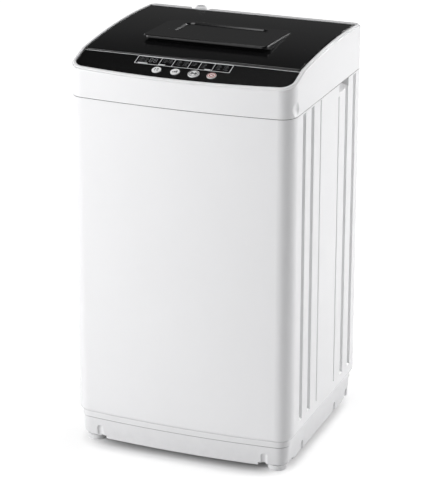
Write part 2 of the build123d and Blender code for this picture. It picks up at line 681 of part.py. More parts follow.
def lid():
    """Domed lid with a turned-down edge, a hinge barrel behind and the hollow grip plateau with its dish."""
    tall = (SEAM, DOME_Z + 30.0)
    edge = block((-LID_HALF, LID_HALF), (LID_FRONT, HINGE_Y), tall)
    edge = fillet(edge.edges().filter_by(Axis.Z).filter_by(lambda e: e.center().Y < 0), LID_ROUND + 2.0)
    body = edge & under_roof()
    upper = [e for e in body.faces().sort_by(Axis.Z)[-1].edges() if e.center().Y < HINGE_Y - 1.0]
    body = fillet(upper, LID_ROUND)
    inside = (LID_FRONT + WALL, HINGE_Y - HINGE_R - WALL)
    core = block((WALL - LID_HALF, LID_HALF - WALL), inside, tall) & under_roof(WALL)
    shell = body - under_roof(LID_DEEP) - core
    shell += bar(HINGE_Y, HINGE_Z, HINGE_R, -LID_HALF, LID_HALF)
    under = [
        (GRIP_ROOT + WALL, grip_top(GRIP_ROOT + WALL) - 4.5),
        (GRIP_REAR - 12.0, grip_top(GRIP_REAR - 12.0) - 4.5),
        (GRIP_REAR - 12.0, SEAM),
        (GRIP_ROOT + WALL, SEAM),
    ]
    shell += grip_plateau()
    shell -= side_shape(under, GRIP_HALF - 4.0)
    middle = (DISH_FRONT + DISH_REAR) / 2
    slope = (grip_top(DISH_FRONT) - grip_top(DISH_REAR)) / (DISH_REAR - DISH_FRONT)
    dish = Plane(origin=(0, middle, grip_top(middle)), x_dir=(1, 0, 0), z_dir=(0, -slope, -1))
    plan = RectangleRounded(2 * DISH_HALF, DISH_REAR - DISH_FRONT, 14.0)
    shell -= extrude(dish * plan, DISH_DEEP, taper=60)
    for side in (-1, 1):
        ends = sorted((side * (LID_HALF - 13.0), side * (LID_HALF + 1.0)))
        shell -= bar(HINGE_Y, HINGE_Z, HINGE_PIN_R + RUN, *ends)
    return shell


def hinge_pins():
    """Stub pins held in the rim and running in the lid's barrel."""
    pins = []
    for side in (-1, 1):
        ends = sorted((side * (LID_HALF - 12.5), side * (HALF - 2.4)))
        pins.append(bar(HINGE_Y, HINGE_Z, HINGE_PIN_R, *ends))
    return pins


def lid_bumpers():
    """Soft pads under the lid's front corners."""
    layer = under_roof(LID_DEEP) - under_roof(POCKET - FIT)
    pads = []
    for side in (-1, 1):
        across = sorted((side * (LID_HALF - 7.0), side * (LID_HALF - 0.5)))
        pads.append(block(across, (LID_FRONT + 6.0, LID_FRONT + 26.0), (SEAM, DOME_Z)) & layer)
    return pads


def lid_switch():
    """Sealed switch under the deck beside the hinge."""
    box = block((HALF - 41.0, HALF - 15.0), (HINGE_Y - 30.0, HINGE_Y - 6.0), (SEAM + 44.0, DOME_Z))
    return box & under_roof(POCKET + WALL)


def inlet_valve():
    """Threaded-size nipple standing in the rear notch over the valve body and its coil."""
    tip = 2.5
    nipple = lathe(
        [
            (NIPPLE_BORE, NOTCH_FLOOR + 4.0),
            (0, NOTCH_FLOOR + 4.0),
            (0, NOTCH_FLOOR),
            (NIPPLE_R, NOTCH_FLOOR),
            (NIPPLE_R, NIPPLE_TOP - tip),
            (NIPPLE_R - tip, NIPPLE_TOP),
            (NIPPLE_BORE, NIPPLE_TOP),
        ],
        (INLET_X, NIPPLE_Y),
    )
    low, high = SEAM + VALVE_UP[0], SEAM + VALVE_UP[1]
    neck = post((INLET_X, NECK_Y), NECK_R, high - 6.0, NOTCH_FLOOR)
    body = block((INLET_X - 18.0, INLET_X + 18.0), (VALVE_FRONT, REAR - WALL - 1.0), (low, high))
    coil = bar(VALVE_FRONT + 16.0, (low + high) / 2, 11.0, INLET_X + 17.0, INLET_X + 44.0)
    return nipple + neck + body + coil


def inlet_spout():
    """Open duct from the valve through the mouth's skirt."""
    sides = (INLET_X - SPOUT_HALF, INLET_X + SPOUT_HALF)
    duct = block(sides, (SPOUT_END, VALVE_FRONT), (SPOUT_LOW, SPOUT_LOW + SPOUT_H))
    hollow = (SPOUT_LOW + 2.0, SPOUT_LOW + SPOUT_H - 2.0)
    return duct - block((sides[0] + 2.0, sides[1] - 2.0), (SPOUT_END - 4.0, VALVE_FRONT - 2.0), hollow)


def level_sensor():
    """Pressure sensor on the rear wall, with a nozzle for the air tube."""
    body = reach(SENSOR[0], SENSOR_Z, SENSOR_R, SENSOR[1] - 8.0, REAR - WALL)
    low = SENSOR_Z - SENSOR_R
    return body + post(SENSOR, TUBE_BORE - PIN_FIT, low - 14.0, low + 2.0)


def air_tube():
    """Soft tube from the tub's air chamber to the level sensor."""
    low, high = CHAMBER_TOP + 1.0, SENSOR_Z - SENSOR_R - 2.0
    return post(SENSOR, TUBE_R, low, high) - post(SENSOR, TUBE_BORE, low - 1.0, high + 1.0)


def drain_outlet():
    """Spigot through the base's rear wall, with a collar outside and a barb for the inner hose."""
    wall = REAR - SKIRT_IN + 0.2
    spigot = reach(DRAIN_X, DRAIN_Z, HOSE_R, OUTLET_IN, wall + 1.0)
    spigot += reach(DRAIN_X, DRAIN_Z, SPIGOT_R + 2.5, wall, wall + 3.0)
    spigot += reach(DRAIN_X, DRAIN_Z, SPIGOT_R, wall + 2.0, DEPTH / 2 - 0.5)
    return spigot - reach(DRAIN_X, DRAIN_Z, HOSE_R - 3.0, OUTLET_IN - 10.0, DEPTH)


def drain_hose():
    """Soft elbow hose from the drain valve to the outlet."""
    top = VALVE_LOW - 6.0
    bend = DRAIN_Z + HOSE_BEND
    path = Wire(
        [
            Line((DRAIN_X, DRAIN_Y, top), (DRAIN_X, DRAIN_Y, bend)),
            ThreePointArc(
                (DRAIN_X, DRAIN_Y, bend),
                (DRAIN_X, DRAIN_Y + HOSE_BEND * (1 - sqrt(0.5)), bend - HOSE_BEND * sqrt(0.5)),
                (DRAIN_X, DRAIN_Y + HOSE_BEND, DRAIN_Z),
            ),
            Line((DRAIN_X, DRAIN_Y + HOSE_BEND, DRAIN_Z), (DRAIN_X, OUTLET_IN + 16.0, DRAIN_Z)),
        ]
    )
    start = Plane(origin=(DRAIN_X, DRAIN_Y, top), z_dir=(0, 0, -1))
    ring = Circle(HOSE_R + SLIP + HOSE_T) - Circle(HOSE_R + SLIP)
    return sweep(start * ring, path)


def run_capacitor():
    """Motor capacitor on the inside of the back panel, with two tabs."""
    low, high = BACK_LOW + 33.0, BACK_LOW + 88.0
    box = block((-25.0, 25.0), (REAR - 30.0, REAR), (low, high))
    tab = ((REAR - 18.0, REAR - 16.0), (high - 1.0, high + 10.0))
    return box + [block((x, x + 6.0), *tab) for x in (-13.0, 7.0)]


def hanger_brackets():
    """Corner plates that carry the suspension rods, notched round the wall's bulges."""
    layer = slab(outline(WALL), HANG_Z - HANG_T, HANG_Z)
    bumps = side_bumps()
    plates = []
    for x, y in HANGS:
        across = sorted((x - (20.0 if x > 0 else -20.0), HALF if x > 0 else -HALF))
        along = sorted((y + (26.0 if y < 0 else -26.0), FRONT if y < 0 else DEPTH / 2))
        plate = layer & block(across, along, (HANG_Z - HANG_T, HANG_Z))
        plates.append(plate - bumps - post((x, y), SUSPEND_R + SLIP, HANG_Z - 20.0, HANG_Z + 5.0))
    return plates


def suspension_rods():
    """Hanging rods with a domed head on the corner plate and a stop below the spring cap."""
    stop = CAP_LOW
    profile = [(0, stop - 8.0), (6.0, stop - 8.0), (6.0, stop), (SUSPEND_R, stop), (SUSPEND_R, HANG_Z)]
    profile += [(8.0, HANG_Z), (8.0, HANG_Z + 4.0), (4.0, HANG_Z + 10.0), (0, HANG_Z + 10.0)]
    return [lathe(profile, at) for at in HANGS]


def ring_points(inner, outer, low, high):
    """Section of a plain ring."""
    return [(inner, low), (outer, low), (outer, high), (inner, high)]


def spring_caps():
    """Pistons on the rod ends, sliding in the damper cups."""
    section = ring_points(SUSPEND_R + PIN_FIT, SLEEVE_IN - FIT, CAP_LOW, CAP_LOW + CAP_H)
    return [lathe(section, at) for at in HANGS]


def coil_path(at, low, high):
    """Centre line of a coil: two tangent arcs for every half turn."""
    climb = (high - low) / (2 * pi * COILS)
    slant = hypot(COIL_R, climb)

    def on(turn):
        return Vector(at[0] + COIL_R * cos(turn), at[1] + COIL_R * sin(turn), low + climb * turn)

    def along(turn):
        return Vector(-COIL_R * sin(turn) / slant, COIL_R * cos(turn) / slant, climb / slant)

    edges = []
    for half in range(2 * COILS):
        start, end = on(half * pi), on((half + 1) * pi)
        leave, arrive = along(half * pi), along((half + 1) * pi)
        span = end - start
        lean = span.dot(leave + arrive)
        turned = 2 * (1 - leave.dot(arrive))
        arm = (sqrt(lean**2 + turned * span.dot(span)) - lean) / turned
        first = start + leave * arm
        second = end - arrive * arm
        middle = (first + second) * 0.5
        edges.append(TangentArc(start, middle, tangent=leave))
        edges.append(TangentArc(middle, end, tangent=second - first))
    return Wire(edges)


def suspension_springs():
    """Coil springs between cap and cup."""
    low = CAP_LOW + CAP_H + WIRE_R
    high = LUG_LOW - CUP_TOP - WIRE_R - SLIP
    coils = []
    for at in HANGS:
        path = coil_path(at, low, high)
        start = Plane(origin=path @ 0, z_dir=path % 0)
        coils.append(sweep(start * Circle(WIRE_R), path))
    spots = [path @ (i / 400) for i in range(401)]
    turn = 400 // COILS
    near = min((a - b).length for i, a in enumerate(spots) for b in spots[i + turn // 2 :])
    print("spring least gap to itself", round(near - 2 * WIRE_R, 2))
    return coils


def damper_cups():
    """Plastic cups under the tub's lugs: a neck in the lug and a sleeve round spring and piston."""
    bore = SUSPEND_R + FIT
    section = [
        (bore, LUG_LOW - CUP_TOP),
        (SLEEVE_IN, LUG_LOW - CUP_TOP),
        (SLEEVE_IN, SLEEVE_LOW),
        (SLEEVE_R, SLEEVE_LOW),
        (SLEEVE_R, LUG_LOW),
        (LUG_BORE - FIT, LUG_LOW),
        (LUG_BORE - FIT, LUG_LOW + LUG_T + 2.0),
        (bore, LUG_LOW + LUG_T + 2.0),
    ]
    return [lathe(section, at) for at in HANGS]


def outer_tub():
    """Water tub with suspension lugs, an air chamber, a drain sump and feet for the chassis plate."""
    section = [
        (HUB_R, PLATE_Z + PLATE_T),
        (HUB_R + HUB_T, PLATE_Z + PLATE_T),
        (HUB_R + HUB_T, TUB_LOW),
        (TUB_R_LOW - 10.0, TUB_LOW),
        (TUB_R_LOW, TUB_LOW + 10.0),
        (TUB_R_HIGH, TUB_HIGH - 6.0),
        (RIM_R, TUB_HIGH - 6.0),
        (RIM_R, TUB_HIGH),
        (TUB_R_HIGH - WALL, TUB_HIGH),
        (TUB_R_LOW - WALL, TUB_LOW + 11.0),
        (TUB_R_LOW - 11.0, TUB_LOW + WALL),
        (HUB_R + HUB_T, TUB_LOW + WALL),
        (HUB_R + HUB_T, TUB_LOW + 10.0),
        (HUB_R, TUB_LOW + 10.0),
    ]
    tub = lathe(section)
    for x, y in HANGS:
        turn = Rot(0, 0, atan2_deg(y, x))
        far = hypot(x, y) + 18.0
        tub += turn * block((TUB_R_LOW - 1.0, far), (-22.0, 22.0), (LUG_LOW, LUG_LOW + LUG_T))
        tub += turn * block((TUB_R_LOW - 1.0, far - 42.0), (-3.0, 3.0), (TUB_LOW + 12.0, LUG_LOW + 1.0))
        tub -= post((x, y), LUG_BORE, LUG_LOW - 5.0, LUG_LOW + LUG_T + 5.0)
    chamber = Rot(0, 0, atan2_deg(SENSOR[1], SENSOR[0]))
    reach = (TUB_R_LOW - 0.5, hypot(*SENSOR) + 6.0)
    tub += chamber * block(reach, (-9.0, 9.0), (TUB_LOW + 20.0, CHAMBER_TOP))
    tub += post(SENSOR, TUBE_BORE - SLIP, CHAMBER_TOP - 1.0, CHAMBER_TOP + 12.0)
    stands = [(x, y) for x in (-70.0, 70.0) for y in (-55.0, 55.0)]
    tub += [post(at, 8.0, PLATE_Z + PLATE_T, TUB_LOW + 1.0) for at in stands]
    tub += post((DRAIN_X, DRAIN_Y), HOSE_R + 5.0, SUMP_LOW, TUB_LOW + 1.0)
    return tub - post((DRAIN_X, DRAIN_Y), HOSE_R - 2.0, SUMP_LOW - 1.0, TUB_LOW + 5.0)


def tub_ring():
    """Cover ring on the tub's rim, with an upstand round the mouth."""
    inner = TUB_R_HIGH - 16.0
    section = [
        (inner, TUB_HIGH),
        (RIM_R, TUB_HIGH),
        (RIM_R, TUB_HIGH + 5.0),
        (inner + WALL, TUB_HIGH + 5.0),
        (inner + WALL, TUB_HIGH + 13.0),
        (inner, TUB_HIGH + 13.0),
    ]
    return lathe(section)


def shaft_seal():
    """Lip seal between the tub's hub and the spin shaft."""
    return lathe(ring_points(SPIN_R + RUN, HUB_R - PIN_FIT, TUB_LOW - 3.0, TUB_LOW + 9.0))


def chassis_plate():
    """Steel plate under the tub that carries gearbox, motor and drain actuator, with the lever's pin."""
    layer = (PLATE_Z, PLATE_Z + PLATE_T)
    across = (-95.0, MOTOR_X + MOTOR_R + 7.0)
    plate = block(across, (-PLATE_HALF, PLATE_HALF), layer)
    plate += block((ROD_END - 18.0, ROD_END + 58.0), (PLATE_HALF - 4.0, DRAIN_Y + 24.0), layer)
    plate += block((-12.0, 12.0), (PLATE_HALF - 4.0, LEVER_Y + 10.0), layer)
    plate += block(across, (-PLATE_HALF, 3.0 - PLATE_HALF), (PLATE_Z - 12.0, PLATE_Z + PLATE_T))
    plate += post((0, LEVER_Y), LEVER_PIN_R, ROD_Z - 20.0, PLATE_Z + 1.0)
    return plate - post((0, 0), 24.0, PLATE_Z - 5.0, PLATE_Z + 5.0)


def gearbox():
    """Clutch and reducer housing, bored for the spin shaft above and the input shaft below."""
    section = [
        (0, INPUT_TOP + 2.0),
        (INPUT_R + RUN, INPUT_TOP + 2.0),
        (INPUT_R + RUN, GEARBOX_LOW),
        (GEARBOX_R - 6.0, GEARBOX_LOW),
        (GEARBOX_R, GEARBOX_LOW + 6.0),
        (GEARBOX_R, PLATE_Z - 12.0),
        (GEARBOX_R + 14.0, PLATE_Z - 8.0),
        (GEARBOX_R + 14.0, PLATE_Z),
        (SPIN_R + 6.0, PLATE_Z),
        (SPIN_R + 6.0, PLATE_Z + 8.0),
        (SPIN_R + RUN, PLATE_Z + 8.0),
        (SPIN_R + RUN, SPIN_LOW - 2.0),
        (0, SPIN_LOW - 2.0),
    ]
    return lathe(section)


def spin_shaft():
    """Hollow basket shaft with its flange under the basket."""
    section = [
        (DRIVE_R + RUN, SPIN_LOW),
        (SPIN_R, SPIN_LOW),
        (SPIN_R, BASKET_LOW - 8.0),
        (40.0, BASKET_LOW - 8.0),
        (40.0, BASKET_LOW),
        (DRIVE_R + RUN, BASKET_LOW),
    ]
    return lathe(section)


def basket_base():
    """Floor of the basket with a stiffening ring."""
    return lathe(
        [
            (DRIVE_R + FIT, BASKET_LOW),
            (BASKET_R, BASKET_LOW),
            (BASKET_R, BASKET_TOP),
            (DRIVE_R + FIT, BASKET_TOP),
        ]
    )


def basket_wall():
    """Perforated wall of the basket, in staggered columns."""
    wall = lathe(ring_points(BASKET_R - BASKET_T, BASKET_R, BASKET_TOP, BASKET_HIGH))
    hole = extrude(Plane.YZ * RegularPolygon(3.5, 6), BASKET_R + 10.0)
    holes = []
    for column in range(HOLE_COLUMNS):
        for row in range(HOLE_ROWS):
            z = BASKET_TOP + 40.0 + (row + 0.5 * (column % 2)) * HOLE_PITCH
            holes.append(Pos(0, 0, z) * Rot(0, 0, (column + 0.5) * 360.0 / HOLE_COLUMNS) * hole)
    return wall - holes


def balance_ring():
    """Sealed counterweight ring on the basket's rim."""
    top = BASKET_HIGH + BALANCE_H
    section = [
        (BALANCE_IN, BASKET_HIGH),
        (BALANCE_OUT, BASKET_HIGH),
        (BALANCE_OUT, top - 6.0),
        (BALANCE_OUT - 6.0, top),
        (BALANCE_IN + 6.0, top),
        (BALANCE_IN, top - 6.0),
    ]
    return lathe(section)


def lint_filter():
    """Filter frame that hangs on the basket wall."""
    low, high = BASKET_TOP + FILTER_UP, BASKET_TOP + FILTER_UP + FILTER_H
    face = BASKET_R - 20.0
    body = block((-FILTER_HALF, FILTER_HALF), (face, BASKET_R), (low, high))
    body &= post((0, 0), BASKET_R - BASKET_T, low, high)
    half = FILTER_HALF - 8.0
    return body - block((-half, half), (face - 10.0, face + 6.0), (low + 12.0, high - 12.0))


def pulsator():
    """Finned disc in the bottom of the basket."""
    low = PULSATOR_LOW
    section = [
        (DRIVE_R + PIN_FIT, low - 3.0),
        (16.0, low - 3.0),
        (16.0, low),
        (PULSATOR_R - 6.0, low),
        (PULSATOR_R, low + 3.0),
        (PULSATOR_R, low + 7.0),
        (60.0, low + 11.0),
        (26.0, low + 28.0),
        (SCREW_R + RUN / 2, low + 28.0),
        (SCREW_R + RUN / 2, low + 16.0),
        (DRIVE_R + PIN_FIT, low + 16.0),
    ]
    disc = lathe(section)
    fin = make_face(Polyline((20.0, low + 12.0), (114.0, low + 4.0), (114.0, low + 12.0), (70.0, low + 24.0),
                             (22.0, low + 27.0), close=True))
    for turn in range(FINS):
        disc += Rot(0, 0, turn * 360.0 / FINS) * extrude(Plane.XZ * fin, 4.0, both=True)
    return disc


def pulsator_screw():
    """Cap screw that holds the pulsator."""
    low = PULSATOR_LOW + 16.0
    return post((0, 0), SCREW_R, low, low + 13.0) + post((0, 0), 10.0, low + 12.0, low + 16.0)


def pulley(groove, bore, at):
    """Belt pulley with a square groove, a lip each side and a hub above."""
    low = PULLEY_LOW
    floor = low + BELT_Z
    lip = groove + PULLEY_LIP
    section = [
        (bore, low),
        (lip, low),
        (lip, floor),
        (groove, floor),
        (groove, floor + GROOVE_W),
        (lip, floor + GROOVE_W),
        (lip, low + PULLEY_H),
        (bore + 8.0, low + PULLEY_H),
        (bore + 8.0, HUB_TOP),
        (bore, HUB_TOP),
    ]
    return lathe(section, at)


def loop(big, small):
    """Outline of a tight band round two circles."""
    lean = acos((big - small) / MOTOR_X)
    up = (cos(lean), sin(lean))
    edges = [
        ThreePointArc((big * up[0], big * up[1]), (-big, 0), (big * up[0], -big * up[1])),
        Line((big * up[0], -big * up[1]), (MOTOR_X + small * up[0], -small * up[1])),
        ThreePointArc(
            (MOTOR_X + small * up[0], -small * up[1]), (MOTOR_X + small, 0), (MOTOR_X + small * up[0], small * up[1])
        ),
        Line((MOTOR_X + small * up[0], small * up[1]), (big * up[0], big * up[1])),
    ]
    return make_face(edges)


def belt():
    """Drive belt round both pulleys, clear of their grooves."""
    small = GROOVE_SMALL + SLIP
    low = PULLEY_LOW + BELT_Z + (GROOVE_W - BELT_W) / 2
    return slab(loop(BELT_BIG + BELT_T, small + BELT_T) - loop(BELT_BIG, small), low, low + BELT_W)


def motor_body():
    """Motor housing with a square mounting plate."""
    bore = MOTOR_SHAFT_R + RUN
    section = [
        (bore, MOTOR_LOW),
        (MOTOR_R - 10.0, MOTOR_LOW),
        (MOTOR_R, MOTOR_LOW + 6.0),
        (MOTOR_R, MOTOR_HIGH - 2.0),
        (0, MOTOR_HIGH - 2.0),
        (0, MOTOR_LOW + 18.0),
        (bore, MOTOR_LOW + 18.0),
    ]
    plate = block((MOTOR_X - 44.0, MOTOR_X + 44.0), (-44.0, 44.0), (MOTOR_HIGH - 5.0, MOTOR_HIGH))
    return lathe(section, (MOTOR_X, 0)) + plate


def motor_bushes():
    """Rubber bushes between motor and chassis plate."""
    places = [(MOTOR_X + sx * 35.0, sy * 35.0) for sx in (-1, 1) for sy in (-1, 1)]
    return [post(at, 8.0, MOTOR_HIGH, PLATE_Z) for at in places]


def drain_valve():
    """Valve under the tub's sump, with a spigot for the hose and a bonnet for the rod."""
    at = (DRAIN_X, DRAIN_Y)
    body = post(at, 24.0, VALVE_LOW, SUMP_LOW) + post(at, HOSE_R, VALVE_LOW - 20.0, VALVE_LOW + 1.0)
    body += bar(DRAIN_Y, ROD_Z, 18.0, DRAIN_X, DRAIN_X + 36.0)
    body -= post(at, HOSE_R - 2.0, VALVE_LOW - 28.0, TUB_LOW)
    body -= bar(DRAIN_Y, ROD_Z, 10.0, DRAIN_X, DRAIN_X + ROD_TRAVEL + 14.0)
    return body - bar(DRAIN_Y, ROD_Z, ROD_R + FIT, DRAIN_X, DRAIN_X + 40.0)


def drain_rod():
    """Pull rod with the valve's plug at one end and a peg for the brake lever."""
    rod = bar(DRAIN_Y, ROD_Z, ROD_R, DRAIN_X + 4.0, ROD_END)
    plug = bar(DRAIN_Y, ROD_Z, 8.0, DRAIN_X + 3.0, DRAIN_X + 7.0)
    return rod + plug + post((0, DRAIN_Y), 2.0, ROD_Z - 18.0, ROD_Z)


def drain_actuator():
    """Pull motor for the drain rod, under the chassis plate."""
    box = block((ROD_END - 12.0, ROD_END + 50.0), (DRAIN_Y - 20.0, DRAIN_Y + 20.0), (ROD_Z - 18.0, PLATE_Z))
    return box - bar(DRAIN_Y, ROD_Z, ROD_R + FIT, ROD_END - 16.0, ROD_END + ROD_TRAVEL + 8.0)


def brake_lever():
    """Forked lever that the rod's peg swings to free the brake."""
    low, high = ROD_Z - 16.0, ROD_Z - 8.0
    lever = block((-6.0, 6.0), (LEVER_Y - 14.0, DRAIN_Y + 8.0), (low + 1.0, high - 2.0))
    lever += post((0, LEVER_Y), 9.0, low, high)
    lever -= block((-2.6, 2.6), (DRAIN_Y - 8.0, DRAIN_Y + 20.0), (low - 5.0, high + 5.0))
    return lever - post((0, LEVER_Y), LEVER_PIN_R + RUN, low - 5.0, high + 5.0)


parts = {
    "cabinet": cabinet(),
    "back_panel": back_panel(),
    "cord_gland": cord_gland(),
    "back_screws": back_screws(),
    "base": base(),
    "rear_feet": [foot(at, FOOT_H) for at in FEET_REAR],
    "top_frame": top_frame(),
    "control_panel": control_panel(),
    "display_window": display_window(),
    "control_board": control_board(),
    "lid": lid(),
    "hinge_pins": hinge_pins(),
    "lid_bumpers": lid_bumpers(),
    "lid_switch": lid_switch(),
    "inlet_valve": inlet_valve(),
    "inlet_spout": inlet_spout(),
    "level_sensor": level_sensor(),
    "air_tube": air_tube(),
    "drain_outlet": drain_outlet(),
    "drain_hose": drain_hose(),
    "run_capacitor": run_capacitor(),
    "hanger_brackets": hanger_brackets(),
    "suspension_rods": suspension_rods(),
    "spring_caps": spring_caps(),
    "suspension_springs": suspension_springs(),
    "damper_cups": damper_cups(),
    "outer_tub": outer_tub(),
    "tub_ring": tub_ring(),
    "shaft_seal": shaft_seal(),
    "chassis_plate": chassis_plate(),
    "gearbox": gearbox(),
    "spin_shaft": spin_shaft(),
    "basket_base": basket_base(),
    "basket_wall": basket_wall(),
    "balance_ring": balance_ring(),
    "lint_filter": lint_filter(),
    "pulsator": pulsator(),
    "pulsator_shaft": post((0, 0), DRIVE_R, SPIN_LOW + 2.0, PULSATOR_LOW + 16.0),
    "pulsator_screw": pulsator_screw(),
    "drive_pulley": pulley(GROOVE_BIG, INPUT_R + PIN_FIT, (0, 0)),
    "input_shaft": post((0, 0), INPUT_R, PULLEY_LOW - 4.0, INPUT_TOP),
    "motor_pulley": pulley(GROOVE_SMALL, MOTOR_SHAFT_R + PIN_FIT, (MOTOR_X, 0)),
    "motor_shaft": post((MOTOR_X, 0), MOTOR_SHAFT_R, PULLEY_LOW - 4.0, MOTOR_LOW + 16.0),
    "belt": belt(),
    "motor_body": motor_body(),
    "motor_bushes": motor_bushes(),
    "drain_valve": drain_valve(),
    "drain_rod": drain_rod(),
    "drain_actuator": drain_actuator(),
    "brake_lever": brake_lever(),
}
parts.update({name: button(*spot) for name, spot in BUTTONS.items()})
parts.update({name: foot(at, FOOT_H - SLIP) for name, at in FEET_FRONT.items()})

os.makedirs("parts", exist_ok=True)
for name, shape in parts.items():
    solid = Compound(children=list(shape)) if isinstance(shape, list) else shape
    export_step(solid, f"parts/{name}.step")
    print(name, len(solid.solids()), round(solid.volume))
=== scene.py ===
import json
import math

import bmesh
import bpy
from mathutils import Matrix, Vector


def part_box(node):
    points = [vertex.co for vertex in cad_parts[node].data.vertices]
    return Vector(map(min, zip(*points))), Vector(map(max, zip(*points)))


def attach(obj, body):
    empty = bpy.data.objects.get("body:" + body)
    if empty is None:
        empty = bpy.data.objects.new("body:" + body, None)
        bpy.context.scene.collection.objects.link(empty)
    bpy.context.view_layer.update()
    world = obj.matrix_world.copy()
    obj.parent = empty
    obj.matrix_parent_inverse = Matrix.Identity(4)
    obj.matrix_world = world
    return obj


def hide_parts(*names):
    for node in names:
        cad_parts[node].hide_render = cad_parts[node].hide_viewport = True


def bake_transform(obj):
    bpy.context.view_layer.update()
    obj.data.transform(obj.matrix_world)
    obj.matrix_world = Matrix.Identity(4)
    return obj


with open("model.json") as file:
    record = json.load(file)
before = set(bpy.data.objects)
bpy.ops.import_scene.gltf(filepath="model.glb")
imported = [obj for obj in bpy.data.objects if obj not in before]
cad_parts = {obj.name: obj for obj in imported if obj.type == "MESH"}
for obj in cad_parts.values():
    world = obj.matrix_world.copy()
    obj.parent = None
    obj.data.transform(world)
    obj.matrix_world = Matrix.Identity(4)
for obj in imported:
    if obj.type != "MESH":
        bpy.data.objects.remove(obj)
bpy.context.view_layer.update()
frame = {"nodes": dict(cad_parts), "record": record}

bl_info = {
    "name": "Top Load Washer Looks",
    "version": (1, 0, 0),
    "blender": (4, 5, 0),
    "location": "3D View > Sidebar > Washer",
    "description": "Finishes, printed marks, fittings and a studio for a compact top load washing machine",
    "category": "Object",
}

MM = 0.001
TURN = 2 * math.pi

# Display print, in millimetres from the middle of the window
CELL_WALLS = (-45.0, -19.4, 11.0, 30.8, 56.8)
LEVEL_BARS = ((-85.5, 19.0), (-45.5, 13.5), (42.5, 12.0))  # left end and length
FIGURES = (-66.0, -57.5)  # left edges
TICKS = (  # left end and number of rows
    (-86.0, 4),
    (-77.0, 4),
    (-40.0, 3),
    (-30.0, 3),
    (-13.0, 4),
    (0.0, 4),
    (16.0, 3),
    (35.0, 4),
    (63.0, 4),
    (77.0, 4),
)
# Ends of a figure's bars: top, middle or bottom, then left or right
SEGMENTS = ("tl tr", "tr mr", "mr br", "bl br", "ml bl", "tl ml", "ml mr")

# Studio: brightness of the surround by height, of the floor's glow by distance (kept low near the machine as
# a painted contact shadow), and the lamps
SKY_STOPS = ((0.0, 1.0), (0.36, 1.0), (0.52, 0.15), (0.66, 0.15), (0.85, 0.5), (1.0, 0.6))
GLOW_AND_SHADOW_STOPS = ((0.18, 0.0), (0.222, 0.45), (0.9, 0.65))
LAMPS = {  # place and size
    "key": ((-2.4, -2.4, 1.2), (2.0, 2.0)),
    "front": ((-1.0, -3.3, 1.2), (2.4, 2.0)),
    "left": ((-2.5, 1.6, 1.2), (1.4, 2.0)),
    "right": ((2.6, 1.45, 1.2), (1.4, 2.0)),
    "top": ((0.0, 0.1, 2.6), (1.4, 1.4)),
    "edge": ((1.5, 2.6, 1.3), (0.4, 1.2)),
    "high": ((0.25, 2.7, 2.1), (0.5, 0.6)),
}
LIT_POINT = Vector((0.0, 0.0, 0.4))  # what the lamps face
SEEN_POINT = Vector((-0.00283, 0.006, 0.35137))  # what the camera faces


def tint(name, about, value):
    """A colour that a user may change."""
    return bpy.props.FloatVectorProperty(
        name=name, description=about, subtype="COLOR", size=3, min=0.0, max=1.0, default=value
    )


def number(name, about, value, subtype="NONE", unit="NONE", precision=3):
    """A number that a user may change."""
    return bpy.props.FloatProperty(
        name=name, description=about, min=0.0, default=value, subtype=subtype, unit=unit, precision=precision
    )


def length(name, about, value):
    """A length in metres."""
    return number(name, about, value, "DISTANCE", "LENGTH", precision=5)


def angle(name, about, degrees):
    """An angle, kept in radians and given in degrees."""
    return number(name, about, math.radians(degrees), "ANGLE", "ROTATION")


def power(name, about, watts):
    """The power of a lamp."""
    return number(name, about, watts, "POWER", "POWER")


class WasherColours(bpy.types.PropertyGroup):
    """Colours of the machine's finishes."""

    shell: tint("Shell", "White gloss plastic of cabinet and top frame", (0.84, 0.84, 0.85))
    skirt: tint("Base", "White satin plastic of base, feet, back panel and inlet", (0.80, 0.80, 0.81))
    lid: tint("Lid", "Black gloss plastic of the lid", (0.0065, 0.0066, 0.007))
    fascia: tint("Control panel", "Black gloss plastic of the control panel", (0.0035, 0.0035, 0.0037))
    window: tint("Display", "Dark strip over the display", (0.004, 0.004, 0.0045))
    button: tint("Buttons", "Silver white push buttons", (0.93, 0.93, 0.935))
    # The line colour also paints the highlight along the panel's upper edge.
    line: tint("Printed lines", "Pale lines and bars on the display", (0.80, 0.81, 0.82))
    faint: tint("Unlit marks", "Dim segments and ticks of the display", (0.21, 0.214, 0.22))
    ink: tint("Button marks", "Dark marks on the buttons", (0.03, 0.03, 0.033))
    red: tint("Power mark", "Red mark on the power button", (0.36, 0.045, 0.035))
    tub: tint("Tub", "Plastic of the outer tub and its ring", (0.66, 0.67, 0.68))
    basket: tint("Basket", "Plastic of the wash basket", (0.60, 0.61, 0.63))
    pulsator: tint("Pulsator", "Plastic of the finned disc", (0.50, 0.54, 0.60))
    grey: tint("Grey fittings", "Grey moulded fittings inside", (0.26, 0.265, 0.275))
    # The rubber colour also paints the shade in the seam and under the base's band.
    rubber: tint("Rubber", "Dark rubber of belt, seal, bushes and joint gaps", (0.018, 0.018, 0.019))
    hose: tint("Hoses", "Soft grey hoses and pads", (0.30, 0.30, 0.31))
    steel: tint("Steel", "Zinc plated steel", (0.56, 0.57, 0.58))
    spring: tint("Springs", "Darker steel of the suspension springs", (0.30, 0.30, 0.32))
    alloy: tint("Cast alloy", "Cast alloy of gearbox and pulleys", (0.55, 0.56, 0.57))


